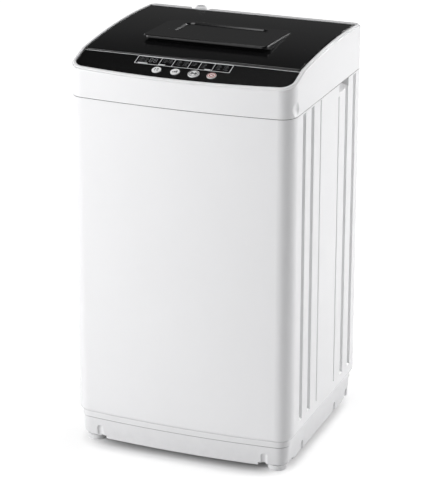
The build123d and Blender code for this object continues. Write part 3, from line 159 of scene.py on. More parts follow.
class WasherSizes(bpy.types.PropertyGroup):
    """Sizes of the printed marks and small fittings."""

    line: length("Line width", "Width of the printed lines", 0.0011)
    mark: length("Mark width", "Width of the strokes on the buttons", 0.00209)
    proud: length("Print height", "How far a printed mark stands out", 0.00006)
    thread: length("Thread height", "How far the inlet thread stands out", 0.0008)
    pitch: length("Thread pitch", "Rise of the inlet thread in one turn", 0.0018)
    barb: length("Barb height", "How far the drain barbs stand out", 0.001)
    wire: length("Spring wire", "Radius of the spring wire", 0.0016)
    coil: length("Spring radius", "Radius of the spring coils at the wire's middle", 0.0115)
    band: length("Base band", "Height of the base's upper band", 0.011)


class WasherStudio(bpy.types.PropertyGroup):
    """Camera, lamps and floor."""

    azimuth: angle("Azimuth", "Camera direction round the machine, from the front", 21.81)
    elevation: angle("Elevation", "Camera height over the horizon", 20.24)
    distance: length("Distance", "Camera to the point that it looks at", 4.0778)
    lens: number("Lens", "Focal length on a 36 mm sensor", 156.66, "DISTANCE_CAMERA", "CAMERA")
    key: power("Key lamp", "Power of the lamp in front on the left", 77.0)
    front: power("Front lamp", "Power of the lamp in front, a little to the left", 29.0)
    left: power("Left lamp", "Power of the lamp behind on the left", 12.0)
    right: power("Right lamp", "Power of the lamp behind on the right", 61.0)
    top: power("Top lamp", "Power of the lamp overhead", 17.0)
    edge: power("Edge lamp", "Power of the narrow lamp behind on the right", 10.0)
    high: power("High lamp", "Power of the small lamp high behind", 5.0)
    sky: number("Surround", "Strength of the soft surround", 0.086)
    glow: number("Floor glow", "Strength of the floor's own white, as the camera sees it", 1.6)
    floor: tint("Floor", "Pale floor", (0.80, 0.80, 0.805))


def settings():
    """The three groups of values."""
    scene = bpy.context.scene
    return scene.washer_colours, scene.washer_sizes, scene.washer_studio


def mount_named(name):
    """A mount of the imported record."""
    return next(mount for mount in frame["record"]["mounts"] if mount["name"] == name)


# Materials


class Value:
    """An output socket that takes part in arithmetic."""

    def __init__(self, finish, socket):
        self.finish = finish
        self.socket = socket

    def math(self, operation, first, second=0.0):
        """The output of a new Math node."""
        return self.finish.node("ShaderNodeMath", {"operation": operation}, {0: first, 1: second})

    def __add__(self, other):
        return self.math("ADD", self, other)

    def __radd__(self, other):
        return self.math("ADD", other, self)

    def __rsub__(self, other):
        return self.math("SUBTRACT", other, self)

    def __mul__(self, other):
        return self.math("MULTIPLY", self, other)

    def __rmul__(self, other):
        return self.math("MULTIPLY", other, self)

    def __lt__(self, other):
        return self.math("LESS_THAN", self, other)

    def __gt__(self, other):
        return self.math("GREATER_THAN", self, other)

    def __pow__(self, other):
        return self.math("POWER", self, other)

    def __abs__(self):
        return self.math("ABSOLUTE", self)


class Finish:
    """The nodes of one material, or of the world, built round one shader."""

    def __init__(self, owner, place="Object"):
        owner.use_nodes = True
        self.owner = owner
        self.tree = owner.node_tree
        self.tree.nodes.clear()
        self.place = self.node("ShaderNodeTexCoord", output=place)

    def node(self, kind, settings=None, inputs=None, output=0):
        """A new node: its settings first, then values or links for its sockets."""
        node = self.tree.nodes.new(kind)
        for key, value in (settings or {}).items():
            if key == "stops":
                self.set_stops(node.color_ramp, value)
            else:
                setattr(node, key, value)
        for key, value in (inputs or {}).items():
            if isinstance(value, Value):
                self.tree.links.new(value.socket, node.inputs[key])
            else:
                node.inputs[key].default_value = value
        return Value(self, node.outputs[output]) if node.outputs else None

    @staticmethod
    def set_stops(ramp, stops):
        """Grey stops of a colour ramp."""
        while len(ramp.elements) < len(stops):
            ramp.elements.new(1.0)
        for element, (position, level) in zip(ramp.elements, stops):
            element.position = position
            element.color = (level, level, level, 1.0)

    def noise(self, scale, detail=2.0, stretch=None):
        """Soft noise in object space, features about one over its scale in metres."""
        place = self.place
        if stretch:
            place = self.node("ShaderNodeMapping", inputs={"Vector": place, "Scale": stretch})
        return self.node("ShaderNodeTexNoise", inputs={"Vector": place, "Scale": scale, "Detail": detail})

    def specks(self, scale, size):
        """Small round specks, 1 inside and 0 outside."""
        sockets = {"Vector": self.place, "Scale": scale}
        return self.node("ShaderNodeTexVoronoi", inputs=sockets, output="Distance") < size

    def ramp(self, value, *stops):
        """A value remapped through stops."""
        return self.node("ShaderNodeValToRGB", {"stops": stops}, {"Fac": value})

    def along(self, axis):
        """Place along X, Y or Z."""
        return self.node("ShaderNodeSeparateXYZ", inputs={0: self.place}, output=axis)

    def mix(self, factor, first, second):
        """A colour between two colours."""
        pair = {}
        for key, colour in ((6, first), (7, second)):
            pair[key] = colour if isinstance(colour, Value) else (*colour, 1.0)
        return self.node("ShaderNodeMix", {"data_type": "RGBA"}, {0: factor, **pair}, output=2)

    def bump(self, height, distance):
        """A normal raised by a height field."""
        return self.node("ShaderNodeBump", inputs={"Height": height, "Distance": distance, "Strength": 1.0})

    def shade(self, **inputs):
        """The shader and the output. Keys are socket names with underscores for spaces."""
        sockets = {key.replace("_", " "): value for key, value in inputs.items()}
        return self.close(self.node("ShaderNodeBsdfPrincipled", inputs=sockets))

    def close(self, shader, output="ShaderNodeOutputMaterial"):
        """Links a shader to the output and gives the material or the world."""
        self.node(output, inputs={"Surface": shader})
        return self.owner


def scaled(colour, share):
    """A colour made lighter or darker."""
    return tuple(min(1.0, channel * share) for channel in colour)


def moulded(name, colour, roughness, grain, mottle=0.015, dust=0.0):
    """Moulded plastic: faint flow marks, fine grain, and a trace of dust close to the floor."""
    f = Finish(bpy.data.materials.new(name))
    flow = f.noise(7.0, detail=3.0)
    fine = f.noise(1400.0, detail=2.0)
    body = f.mix(flow, scaled(colour, 1.0 - mottle), scaled(colour, 1.0 + mottle))
    if dust:
        low = f.ramp(f.along("Z"), (0.0, 1.0), (0.09, 0.0))
        body = f.mix(low * f.noise(60.0, detail=4.0) * dust, body, scaled(colour, 0.72))
    rough = roughness - 0.04 + 0.06 * flow + 0.05 * fine
    return f.shade(Base_Color=body, Roughness=rough, Normal=f.bump(fine, grain))


def polished_black(name, colour, roughness):
    """Polished black plastic: wiping haze, hairlines and a few specks of dust."""
    f = Finish(bpy.data.materials.new(name))
    haze = f.noise(11.0, detail=4.0)
    hair = f.ramp(f.noise(30.0, detail=2.0, stretch=(1.0, 40.0, 1.0)), (0.62, 0.0), (0.70, 1.0))
    dust = f.specks(260.0, size=0.035)
    body = f.mix(haze, scaled(colour, 0.92), scaled(colour, 1.08))
    body = f.mix(dust * 0.5, body, (0.09, 0.09, 0.092))
    rough = roughness + 0.07 * haze + 0.04 * hair + 0.2 * dust
    return f.shade(Base_Color=body, Roughness=rough, Normal=f.bump(f.noise(45.0, detail=1.0), 0.00002))


def printed(name, colour):
    """Screen printed ink with a slightly uneven film."""
    f = Finish(bpy.data.materials.new(name))
    film = f.noise(2600.0, detail=2.0)
    body = f.mix(film, scaled(colour, 0.86), scaled(colour, 1.1))
    return f.shade(Base_Color=body, Roughness=0.42 + 0.2 * film)


def satin_silver(name, colour):
    """Painted silver cap with a fine metallic fleck."""
    f = Finish(bpy.data.materials.new(name))
    fleck = f.noise(5200.0, detail=1.0)
    wipe = f.noise(90.0, detail=3.0)
    body = f.mix(fleck, scaled(colour, 0.93), scaled(colour, 1.05))
    return f.shade(Base_Color=body, Roughness=0.24 + 0.1 * wipe, Metallic=0.12 * fleck)


def plated_steel(name, colour, roughness):
    """Zinc plated steel: drawn lines, cloudy spangle and a little tarnish."""
    f = Finish(bpy.data.materials.new(name))
    drawn = f.noise(220.0, detail=3.0, stretch=(1.0, 1.0, 0.05))
    cloud = f.noise(38.0, detail=4.0)
    body = f.mix(cloud, scaled(colour, 0.82), scaled(colour, 1.08))
    rough = roughness + 0.12 * drawn + 0.08 * cloud
    metal = 0.94 - 0.06 * cloud
    return f.shade(Base_Color=body, Metallic=metal, Roughness=rough, Normal=f.bump(drawn, 0.00004))


def cast_alloy(name, colour):
    """Die cast alloy: grainy skin with dull patches."""
    f = Finish(bpy.data.materials.new(name))
    skin = f.noise(700.0, detail=4.0)
    patch = f.noise(24.0, detail=3.0)
    body = f.mix(patch, scaled(colour, 0.78), scaled(colour, 1.05))
    metal = 0.9 - 0.12 * patch
    rough = 0.42 + 0.16 * skin
    return f.shade(Base_Color=body, Metallic=metal, Roughness=rough, Normal=f.bump(skin, 0.00018))


def soft_rubber(name, colour):
    """Rubber: matt, dusty bloom and a fine skin."""
    f = Finish(bpy.data.materials.new(name))
    bloom = f.noise(55.0, detail=4.0)
    skin = f.noise(1800.0, detail=2.0)
    body = f.mix(bloom * 0.5, colour, scaled(tuple(channel + 0.03 for channel in colour), 1.25))
    return f.shade(Base_Color=body, Roughness=0.62 + 0.2 * bloom, Normal=f.bump(skin, 0.00006))


def motor_paint(name):
    """Dipped motor paint with laminations showing through as fine rings."""
    f = Finish(bpy.data.materials.new(name))
    sockets = {"Vector": f.place, "Scale": 310.0, "Distortion": 0.3}
    rings = f.node("ShaderNodeTexWave", {"bands_direction": "Z"}, sockets)
    drip = f.noise(40.0, detail=4.0)
    body = f.mix(drip, (0.022, 0.022, 0.024), (0.05, 0.05, 0.053))
    skin = f.bump(rings * 0.6 + drip * 0.4, 0.0002)
    return f.shade(Base_Color=body, Roughness=0.38 + 0.16 * drip, Normal=skin)


def circuit_board(name):
    """Green board with lighter tracks and bright joints."""
    f = Finish(bpy.data.materials.new(name))
    sockets = {"Vector": f.place, "Scale": 42.0, "Mortar Size": 0.03, "Mortar": (1, 1, 1, 1)}
    for brick in ("Color1", "Color2"):
        sockets[brick] = (0, 0, 0, 1)
    tracks = f.node("ShaderNodeTexBrick", {"offset": 0.37}, sockets)
    joints = f.specks(190.0, size=0.2)
    body = f.mix(tracks, (0.010, 0.075, 0.030), (0.035, 0.17, 0.075))
    body = f.mix(joints, body, (0.55, 0.55, 0.54))
    return f.shade(Base_Color=body, Roughness=0.36 - 0.12 * joints, Metallic=0.8 * joints)


def filter_net(name, colour):
    """Filter frame whose face carries a fine net, its openings darkened as painted shade."""
    f = Finish(bpy.data.materials.new(name))
    mesh, thread = 0.0011, 0.00034
    across, up = [axis.math("PINGPONG", axis, mesh) for axis in (f.along("X"), f.along("Z"))]
    away = across.math("MINIMUM", across, up)
    # Openings between the threads are darker: painted shade seen through the net.
    body = f.mix((away > thread) * 0.8, colour, scaled(colour, 0.45))
    rough = 0.45 + 0.1 * f.noise(300.0)
    return f.shade(Base_Color=body, Roughness=rough, Normal=f.bump(away * 400.0, 0.0002))


def dress(material, *names):
    """Gives CAD nodes their material."""
    for name in names:
        mesh = frame["nodes"][name].data
        mesh.materials.clear()
        mesh.materials.append(material)


# Pieces


def finished(name, body, form, material, smooth=True):
    """A mesh object from a bmesh, riding on a body if one is given."""
    bmesh.ops.remove_doubles(form, verts=form.verts, dist=1e-6)
    bmesh.ops.recalc_face_normals(form, faces=form.faces)
    mesh = bpy.data.meshes.new(name)
    form.to_mesh(mesh)
    form.free()
    mesh.materials.append(material)
    if smooth:
        mesh.shade_smooth()
        mesh.set_sharp_from_angle(angle=math.radians(35.0))
    piece = bpy.data.objects.new(name, mesh)
    bpy.context.scene.collection.objects.link(piece)
    if body:
        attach(piece, body)
    return piece


def panel_axes():
    """Matrix of the control panel, from the middle of the window's upper edge, and the window's run.

    x is across the panel, y up its slope and z out of it.
    """
    low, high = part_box("display_window")
    press = next(j for j in frame["record"]["behaviour"]["joints"] if j["name"] == "start_press")
    slope = math.atan2(press["axis"][1], -press["axis"][2])
    c, s = math.cos(slope), math.sin(slope)
    deep, tall = high.y - low.y, high.z - low.z
    run = (deep * c - tall * s) / (c * c - s * s)
    turn = Matrix.Rotation(slope, 4, "X")
    return Matrix.Translation(((low.x + high.x) / 2, low.y + run * c, high.z)) @ turn, run


def new_points(geom):
    """The vertices of an operator's result."""
    return [item for item in geom if isinstance(item, bmesh.types.BMVert)]


def new_edges(geom, verts=None):
    """The edges of an operator's result, only those within some vertices if these are given."""
    edges = [item for item in geom if isinstance(item, bmesh.types.BMEdge)]
    return [e for e in edges if verts is None or all(v in verts for v in e.verts)]


def edges_of(verts):
    """The edges at some vertices."""
    return list({e for v in verts for e in v.link_edges})


def faces_of(verts):
    """The faces at some vertices."""
    return list({f for v in verts for f in v.link_faces})


def corners(points):
    """Lowest and highest corner of some points."""
    low, high = [Vector([pick(p[axis] for p in points) for axis in range(3)]) for pick in (min, max)]
    return low, high


def flat_bar(form, start, end, width, proud):
    """A thin printed bar between two points, its corners eased."""
    a, b = Vector((*start, 0.0)), Vector((*end, 0.0))
    along = b - a
    made = bmesh.ops.create_cube(form, size=1.0)["verts"]
    bmesh.ops.scale(form, vec=(along.length, width, proud), verts=made)
    upright = [e for e in edges_of(made) if abs(e.verts[0].co.z - e.verts[1].co.z) > proud / 2]
    grown = bmesh.ops.bevel(
        form,
        geom=upright,
        offset=min(along.length, width) * 0.3,
        affect="EDGES",
        segments=2,
        profile=0.5,
        material=-1,
        clamp_overlap=True,
    )
    made = list({v for f in grown["faces"] for v in f.verts} | {v for v in made if v.is_valid})
    bmesh.ops.translate(form, vec=(0.0, 0.0, proud / 2), verts=made)
    turn = Matrix.Rotation(math.atan2(along.y, along.x), 4, "Z")
    bmesh.ops.transform(form, matrix=Matrix.Translation((a + b) / 2) @ turn, verts=made)


def flat_ring(form, centre, radius, width, proud, start=0.0, sweep=TURN):
    """A thin printed ring or arc."""
    at = Vector((*centre, 0.0))
    made = bmesh.ops.create_grid(form, x_segments=1, y_segments=1, size=0.5)["verts"]
    bmesh.ops.scale(form, vec=(width, proud, 1.0), verts=made)
    bmesh.ops.rotate(form, cent=(0, 0, 0), matrix=Matrix.Rotation(TURN / 4, 3, "X"), verts=made)
    bmesh.ops.translate(form, vec=(radius, 0.0, proud / 2), verts=made)
    bmesh.ops.rotate(form, cent=(0, 0, 0), matrix=Matrix.Rotation(start, 3, "Z"), verts=made)
    bmesh.ops.translate(form, vec=at, verts=made)
    bmesh.ops.spin(
        form,
        geom=faces_of(made),
        cent=at,
        axis=(0, 0, 1),
        angle=sweep,
        steps=max(8, int(32 * sweep / TURN)),
        use_merge=sweep > TURN - 1e-4,
    )


def digit(form, at, size, width, proud):
    """A figure with all of its seven segments, as it shows when unlit."""
    wide, tall = size
    heights = {"t": tall, "m": tall / 2, "b": 0.0}
    sides = {"l": 0.0, "r": wide}
    for bar in SEGMENTS:
        first, second = (Vector((sides[end[1]], heights[end[0]])) + Vector(at) for end in bar.split())
        gap = (second - first).normalized() * width * 0.6
        flat_bar(form, first + gap, second - gap, width, proud)


def lines_on_display(colours, sizes):
    """Outline, cell walls and level bars of the display, and a pale line along the panel's upper edge that
    is a painted highlight.
    """
    axes, run = panel_axes()
    low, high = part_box("display_window")
    half = (high.x - low.x) / 2
    form = bmesh.new()
    width, proud = sizes.line, sizes.proud
    edge = 1.2 * MM
    left, right, top, bottom = edge - half, half - edge, -edge, edge - run
    for start, end in (
        ((left, top), (right, top)),
        ((right, top), (right, bottom)),
        ((left, bottom), (right, bottom)),
        ((left, top), (left, bottom)),
    ):
        flat_bar(form, start, end, width, proud)
    for x in CELL_WALLS:
        flat_bar(form, (x * MM, top), (x * MM, bottom), width * 0.8, proud)
    level, thick = bottom + 2.6 * MM, 2.4 * MM
    for x, wide in LEVEL_BARS:
        flat_bar(form, (x * MM, level), ((x + wide) * MM, level), thick, proud)
    # A pale line along the panel's upper edge: a painted highlight where the edge catches light.
    back = axes.inverted()
    spots = [back @ v.co for v in frame["nodes"]["control_panel"].data.vertices]
    highlight_row = max(spot.y for spot in spots) - width
    ends = [spot.x for spot in spots if spot.y > highlight_row]
    flat_bar(form, (min(ends) + width, highlight_row), (max(ends) - width, highlight_row), width, proud)
    bmesh.ops.transform(form, matrix=axes, verts=form.verts)
    print_ink = printed("display print", colours.line)
    finished("display_lines", "cabinet", form, print_ink, smooth=False)


def marks_in_cells(colours, sizes):
    """Unlit figures and ticks in the display's cells."""
    axes, run = panel_axes()
    form = bmesh.new()
    proud = sizes.proud
    foot, size, stroke = -0.66 * run, (5.0 * MM, 0.45 * run), 1.1 * MM
    for x in FIGURES:
        digit(form, (x * MM, foot), size, stroke, proud)
    first_row, row_gap = 0.22 * run, 0.155 * run
    ring, ring_width, tick_width = 0.55 * MM, 0.35 * MM, 0.7 * MM
    start, ends = 2.0 * MM, (6.5 * MM, 8.0 * MM)
    for cell, rows in TICKS:
        x = cell * MM
        for row in range(rows):
            y = -(first_row + row * row_gap)
            flat_ring(form, (x, y), ring, ring_width, proud)
            flat_bar(form, (x + start, y), (x + ends[row % 2], y), tick_width, proud)
    bmesh.ops.transform(form, matrix=axes, verts=form.verts)
    print_ink = printed("unlit print", colours.faint)
    finished("display_marks", "cabinet", form, print_ink, smooth=False)


def cap_axes(name):
    """Matrix of a button, the panel's axes at the middle of its cap, and the cap's radius."""
    axes, _ = panel_axes()
    back = axes.inverted()
    spots = [back @ v.co for v in frame["nodes"][name].data.vertices]
    top = max(spot.z for spot in spots)
    low, high = corners([Vector((spot.x, spot.y, top)) for spot in spots if spot.z > top - 1e-5])
    return axes @ Matrix.Translation((low + high) / 2), (high.x - low.x) / 2


def program_mark(form, reach, width, proud):
    """Two rows of ticks for the program."""
    for row in (-0.26, 0.26):
        flat_bar(form, (-0.5 * reach, row * reach), (-0.2 * reach, row * reach), width, proud)
        flat_bar(form, (0.0, row * reach), (0.55 * reach, row * reach), width, proud)


def level_mark(form, reach, width, proud):
    """Three bars of rising height for the water level."""
    for step, tall in enumerate((0.3, 0.55, 0.8)):
        x = (step - 1) * 0.42 * reach
        flat_bar(form, (x, -0.4 * reach), (x, (tall - 0.4) * reach), width * 1.3, proud)


def start_mark(form, reach, width, proud):
    """A ring with the usual start and pause sign."""
    flat_ring(form, (0.0, 0.0), 0.86 * reach, width * 0.7, proud)
    upper, lower, tip = Vector((-0.45, 0.36)), Vector((-0.45, -0.36)), Vector((0.05, 0.0))
    for start, end in ((upper, lower), (upper, tip), (lower, tip)):
        flat_bar(form, start * reach, end * reach, width, proud)
    for x in (0.28, 0.52):
        flat_bar(form, (x * reach, -0.36 * reach), (x * reach, 0.36 * reach), width, proud)


def power_mark(form, reach, width, proud):
    """The usual open ring and stroke of a power button, in a thin ring."""
    flat_ring(form, (0.0, 0.0), 0.88 * reach, width * 0.7, proud)
    start, sweep = math.radians(125.0), math.radians(290.0)
    flat_ring(form, (0.0, 0.0), 0.46 * reach, width, proud, start=start, sweep=sweep)
    flat_bar(form, (0.0, 0.08 * reach), (0.0, 0.6 * reach), width, proud)


def wound_on(form, edges, centre, turns, rise, per_turn):
    """Winds a section on round an upright axis and gives its last ring of edges."""
    steps = turns * per_turn
    turned = bmesh.ops.spin(
        form,
        geom=edges,
        cent=centre,
        axis=(0, 0, 1),
        dvec=(0, 0, rise / steps),
        angle=turns * TURN,
        steps=steps,
        use_merge=False,
    )
    return new_edges(turned["geom_last"])


def wound_spring(form, centre, low, high, radius, wire):
    """A coil spring with a closed turn at each end."""
    ring = bmesh.ops.create_circle(form, segments=10, radius=wire)["verts"]
    bmesh.ops.rotate(form, cent=(0, 0, 0), matrix=Matrix.Rotation(TURN / 4, 3, "X"), verts=ring)
    bmesh.ops.translate(form, vec=(centre[0] + radius, centre[1], low + wire), verts=ring)
    first = edges = edges_of(ring)
    close = 2.0 * wire * 1.04  # rise of a closed turn, just over the wire's thickness
    climb = high - low - 2.0 * wire - 2.0 * close
    at = (centre[0], centre[1], 0.0)
    for turns, rise in ((1, close), (4, climb), (1, close)):
        edges = wound_on(form, edges, at, turns, rise, per_turn=28)
    for end in (first, edges):
        bmesh.ops.contextual_create(form, geom=end)


def pushed(form, edges, at, along, steps):
    """Pushes a ring of edges on by steps of length and radius, as a hose's skin, and gives the last ring."""
    at, along = Vector(at), Vector(along)
    for step, radius in steps:
        grown = bmesh.ops.extrude_edge_only(form, edges=edges)["geom"]
        verts = new_points(grown)
        edges = new_edges(grown, verts)
        at = at + along * step
        bmesh.ops.translate(form, vec=along * step, verts=verts)
        share = radius / (verts[0].co - at).length
        bmesh.ops.scale(form, vec=(share, share, share), space=Matrix.Translation(-at), verts=verts)
    return edges


def ribs(thin, thick, run, count):
    """Steps of a ribbed stretch of hose: groove and rib in turn."""
    part = run / (count * 4)
    return [(part, thin), (part, thin), (part, thick), (part, thick)] * count


def widest_loop(form):
    """Keeps the widest of a form's separate loops and gives its edges."""
    loose, loops = set(form.verts), []
    while loose:
        loop = [loose.pop()]
        for vert in loop:
            near = {edge.other_vert(vert) for edge in vert.link_edges} & loose
            loose -= near
            loop += near
        loops.append(loop)
    loops.sort(key=lambda loop: max(v.co.x for v in loop))
    bmesh.ops.delete(form, geom=[v for loop in loops[:-1] for v in loop], context="VERTS")
    return form.edges[:]


def placed(form, matrix):
    """Moves the vertices that are new since the last call."""
    bmesh.ops.transform(form, matrix=matrix, verts=[v for v in form.verts if not v.tag])
    for v in form.verts:
        v.tag = True


def cross_head(form, centre, radius, tall):
    """A pan head with a cross recess, facing the rear."""
    cells, field, deep = 7, radius * 0.62, tall * 0.6
    crown, fall = 0.86, 0.12
    grid = bmesh.ops.create_grid(form, x_segments=cells, y_segments=cells, size=field)["verts"]
    faces = faces_of(grid)
    border = [e for e in edges_of(grid) if len(e.link_faces) == 1]
    cell = field * 2 / cells
    cross = []  # arms one cell wide, five cells from end to end
    for face in faces:
        near, far = sorted(abs(c) for c in face.calc_center_median().xy)
        if near < cell * 0.4 and far < cell * 2.4:
            cross.append(face)
    sunk = bmesh.ops.extrude_face_region(form, geom=cross)["geom"]
    bmesh.ops.translate(form, vec=(0.0, 0.0, -deep), verts=new_points(sunk))
    bmesh.ops.delete(form, geom=cross, context="FACES_ONLY")
    ring = bmesh.ops.create_circle(form, segments=28, radius=radius * crown)["verts"]
    bmesh.ops.translate(form, vec=(0.0, 0.0, -tall * fall), verts=ring)
    rim = edges_of(ring)
    bmesh.ops.bridge_loops(form, edges=border + rim)
    for share, drop in ((1.0 / crown, 0.5 - fall), (1.0, 0.5)):
        grown = bmesh.ops.extrude_edge_only(form, edges=rim)["geom"]
        verts = new_points(grown)
        rim = new_edges(grown, verts)
        bmesh.ops.scale(form, vec=(share, share, 1.0), verts=verts)
        bmesh.ops.translate(form, vec=(0.0, 0.0, -tall * drop), verts=verts)
    bmesh.ops.contextual_create(form, geom=rim)
    placed(form, Matrix.Translation(centre) @ Matrix.Rotation(-TURN / 4, 4, "X"))


def loop_of(form, points):
    """A closed loop of edges through some points."""
    verts = [form.verts.new(point) for point in points]
    return [form.edges.new(pair) for pair in zip(verts, verts[1:] + verts[:1])]


def turned_ring(form, centre, profile, steps=48):
    """A closed band turned from a profile of radius and height pairs, facing the rear."""
    edges = loop_of(form, [(radius, 0.0, z) for radius, z in profile])
    bmesh.ops.spin(
        form, geom=edges, cent=(0, 0, 0), axis=(0, 0, 1), angle=TURN, steps=steps, use_merge=True
    )
    placed(form, Matrix.Translation(centre) @ Matrix.Rotation(-TURN / 4, 4, "X"))


# Operators


class WASHER_OT_shell(bpy.types.Operator):
    """Dress the white shell, base, feet, back panel and inlet"""

    bl_idname = "washer.shell"
    bl_label = "White shell"

    def execute(self, context):
        colours, _, _ = settings()
        shell = moulded("white shell", colours.shell, roughness=0.24, grain=0.00001, dust=0.25)
        dress(shell, "cabinet", "top_frame")
        low = moulded("white base", colours.skirt, roughness=0.36, grain=0.00003, dust=0.5)
        dress(low, "base", "rear_feet", "foot_left", "foot_right")
        dress(moulded("white back plate", colours.skirt, roughness=0.42, grain=0.00005), "back_panel")
        fitting = moulded("white fitting", colours.skirt, roughness=0.4, grain=0.00004)
        dress(fitting, "inlet_valve", "inlet_spout")
        return {"FINISHED"}


class WASHER_OT_top(bpy.types.Operator):
    """Dress the black lid, control panel, display strip and buttons"""

    bl_idname = "washer.top"
    bl_label = "Black top"

    def execute(self, context):
        colours, _, _ = settings()
        dress(polished_black("black lid", colours.lid, roughness=0.12), "lid")
        dress(polished_black("black panel", colours.fascia, roughness=0.16), "control_panel")
        dress(polished_black("display strip", colours.window, roughness=0.08), "display_window")
        buttons = [name for name in frame["nodes"] if name.startswith("button_")]
        dress(satin_silver("button cap", colours.button), *buttons)
        return {"FINISHED"}


class WASHER_OT_works(bpy.types.Operator):
    """Dress the tub, basket, drive and fittings inside"""

    bl_idname = "washer.works"
    bl_label = "Works inside"

    def execute(self, context):
        colours, _, _ = settings()
        dress(moulded("tub plastic", colours.tub, roughness=0.4, grain=0.00005), "outer_tub", "tub_ring")
        basket = moulded("basket plastic", colours.basket, roughness=0.32, grain=0.00004)
        dress(basket, "basket_wall", "basket_base", "balance_ring")
        dress(moulded("pulsator plastic", colours.pulsator, roughness=0.28, grain=0.00004), "pulsator")
        dress(filter_net("lint net", colours.skirt), "lint_filter")
        grey = moulded("grey fitting", colours.grey, roughness=0.44, grain=0.00006)
        dress(grey, "lid_switch", "level_sensor", "run_capacitor", "hanger_brackets", "spring_caps")
        dress(grey, "damper_cups", "drain_valve", "drain_actuator", "drain_outlet")
        dress(circuit_board("green board"), "control_board")
        rubber = soft_rubber("black rubber", colours.rubber)
        dress(rubber, "cord_gland", "shaft_seal", "belt", "motor_bushes")
        dress(soft_rubber("soft grey", colours.hose), "lid_bumpers", "air_tube", "drain_hose")
        steel = plated_steel("zinc steel", colours.steel, roughness=0.28)
        dress(steel, "back_screws", "hinge_pins", "suspension_rods", "suspension_springs", "chassis_plate")
        dress(steel, "spin_shaft", "pulsator_shaft", "pulsator_screw", "input_shaft", "motor_shaft")
        dress(steel, "drain_rod", "brake_lever")
        dress(cast_alloy("cast alloy", colours.alloy), "gearbox", "drive_pulley", "motor_pulley")
        dress(motor_paint("motor paint"), "motor_body")
        return {"FINISHED"}


class WASHER_OT_display(bpy.types.Operator):
    """Print the display's lines and marks, and paint a highlight along the panel's upper edge"""

    bl_idname = "washer.display"
    bl_label = "Display print"

    def execute(self, context):
        colours, sizes, _ = settings()
        lines_on_display(colours, sizes)
        marks_in_cells(colours, sizes)
        return {"FINISHED"}


class WASHER_OT_button_marks(bpy.types.Operator):
    """Print a mark on each button"""

    bl_idname = "washer.button_marks"
    bl_label = "Button marks"

    def execute(self, context):
        colours, sizes, _ = settings()
        ink, red = printed("dark ink", colours.ink), printed("red ink", colours.red)
        marks = {"program": program_mark, "level": level_mark, "start": start_mark, "power": power_mark}
        for name, mark in marks.items():
            button = "button_" + name
            axes, reach = cap_axes(button)
            form = bmesh.new()
            mark(form, reach, sizes.mark, sizes.proud)
            bmesh.ops.transform(form, matrix=axes, verts=form.verts)
            film = red if name == "power" else ink
            finished(name + "_mark", button, form, film, smooth=False)
        return {"FINISHED"}


class WASHER_OT_inlet(bpy.types.Operator):
    """Make the thread and the dirt screen of the inlet"""

    bl_idname = "washer.inlet"
    bl_label = "Inlet fittings"

    def execute(self, context):
        colours, sizes, _ = settings()
        nipple = mount_named("inlet_nipple")
        self.thread(nipple, sizes)
        self.screen(nipple, colours)
        return {"FINISHED"}

    def thread(self, mount, sizes):
        """A helical ridge round the nipple."""
        turns, drop, root = 6, 15.5 * MM, 0.2 * MM
        radius = mount["dims"]["r_mm"] * MM
        at = Vector(mount["pos_m"])
        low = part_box("inlet_valve")[1].z - drop
        inner, tip = at.x + radius - root, at.x + radius + sizes.thread
        profile = ((inner, 0.0), (tip, 0.3), (tip, 0.45), (inner, 0.75))
        form = bmesh.new()
        edges = loop_of(form, [(x, at.y, low + share * sizes.pitch) for x, share in profile])
        last = wound_on(form, edges, (at.x, at.y, 0.0), turns, turns * sizes.pitch, per_turn=40)
        for end in (edges, last):
            bmesh.ops.contextual_create(form, geom=end)
        finished("inlet_thread", "cabinet", form, bpy.data.materials["white fitting"])

    def screen(self, mount, colours):
        """A domed dirt screen just inside the nipple's mouth."""
        radius, wall, inside = 6.9 * MM, 0.5 * MM, 1.6 * MM
        ring, rise = 1.6 * MM, 0.25 * MM
        x, y, _ = mount["pos_m"]
        form = bmesh.new()
        disc = bmesh.ops.create_circle(form, cap_ends=True, segments=32, radius=radius)["verts"]
        faces = faces_of(disc)
        for _ in range(3):
            bmesh.ops.inset_region(form, faces=faces, thickness=ring, depth=rise)
        bmesh.ops.solidify(form, geom=form.faces, thickness=wall)
        bmesh.ops.translate(form, vec=(x, y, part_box("inlet_valve")[1].z - inside), verts=form.verts)
        net = filter_net("inlet net", colours.skirt)
        finished("inlet_screen", "cabinet", form, net)


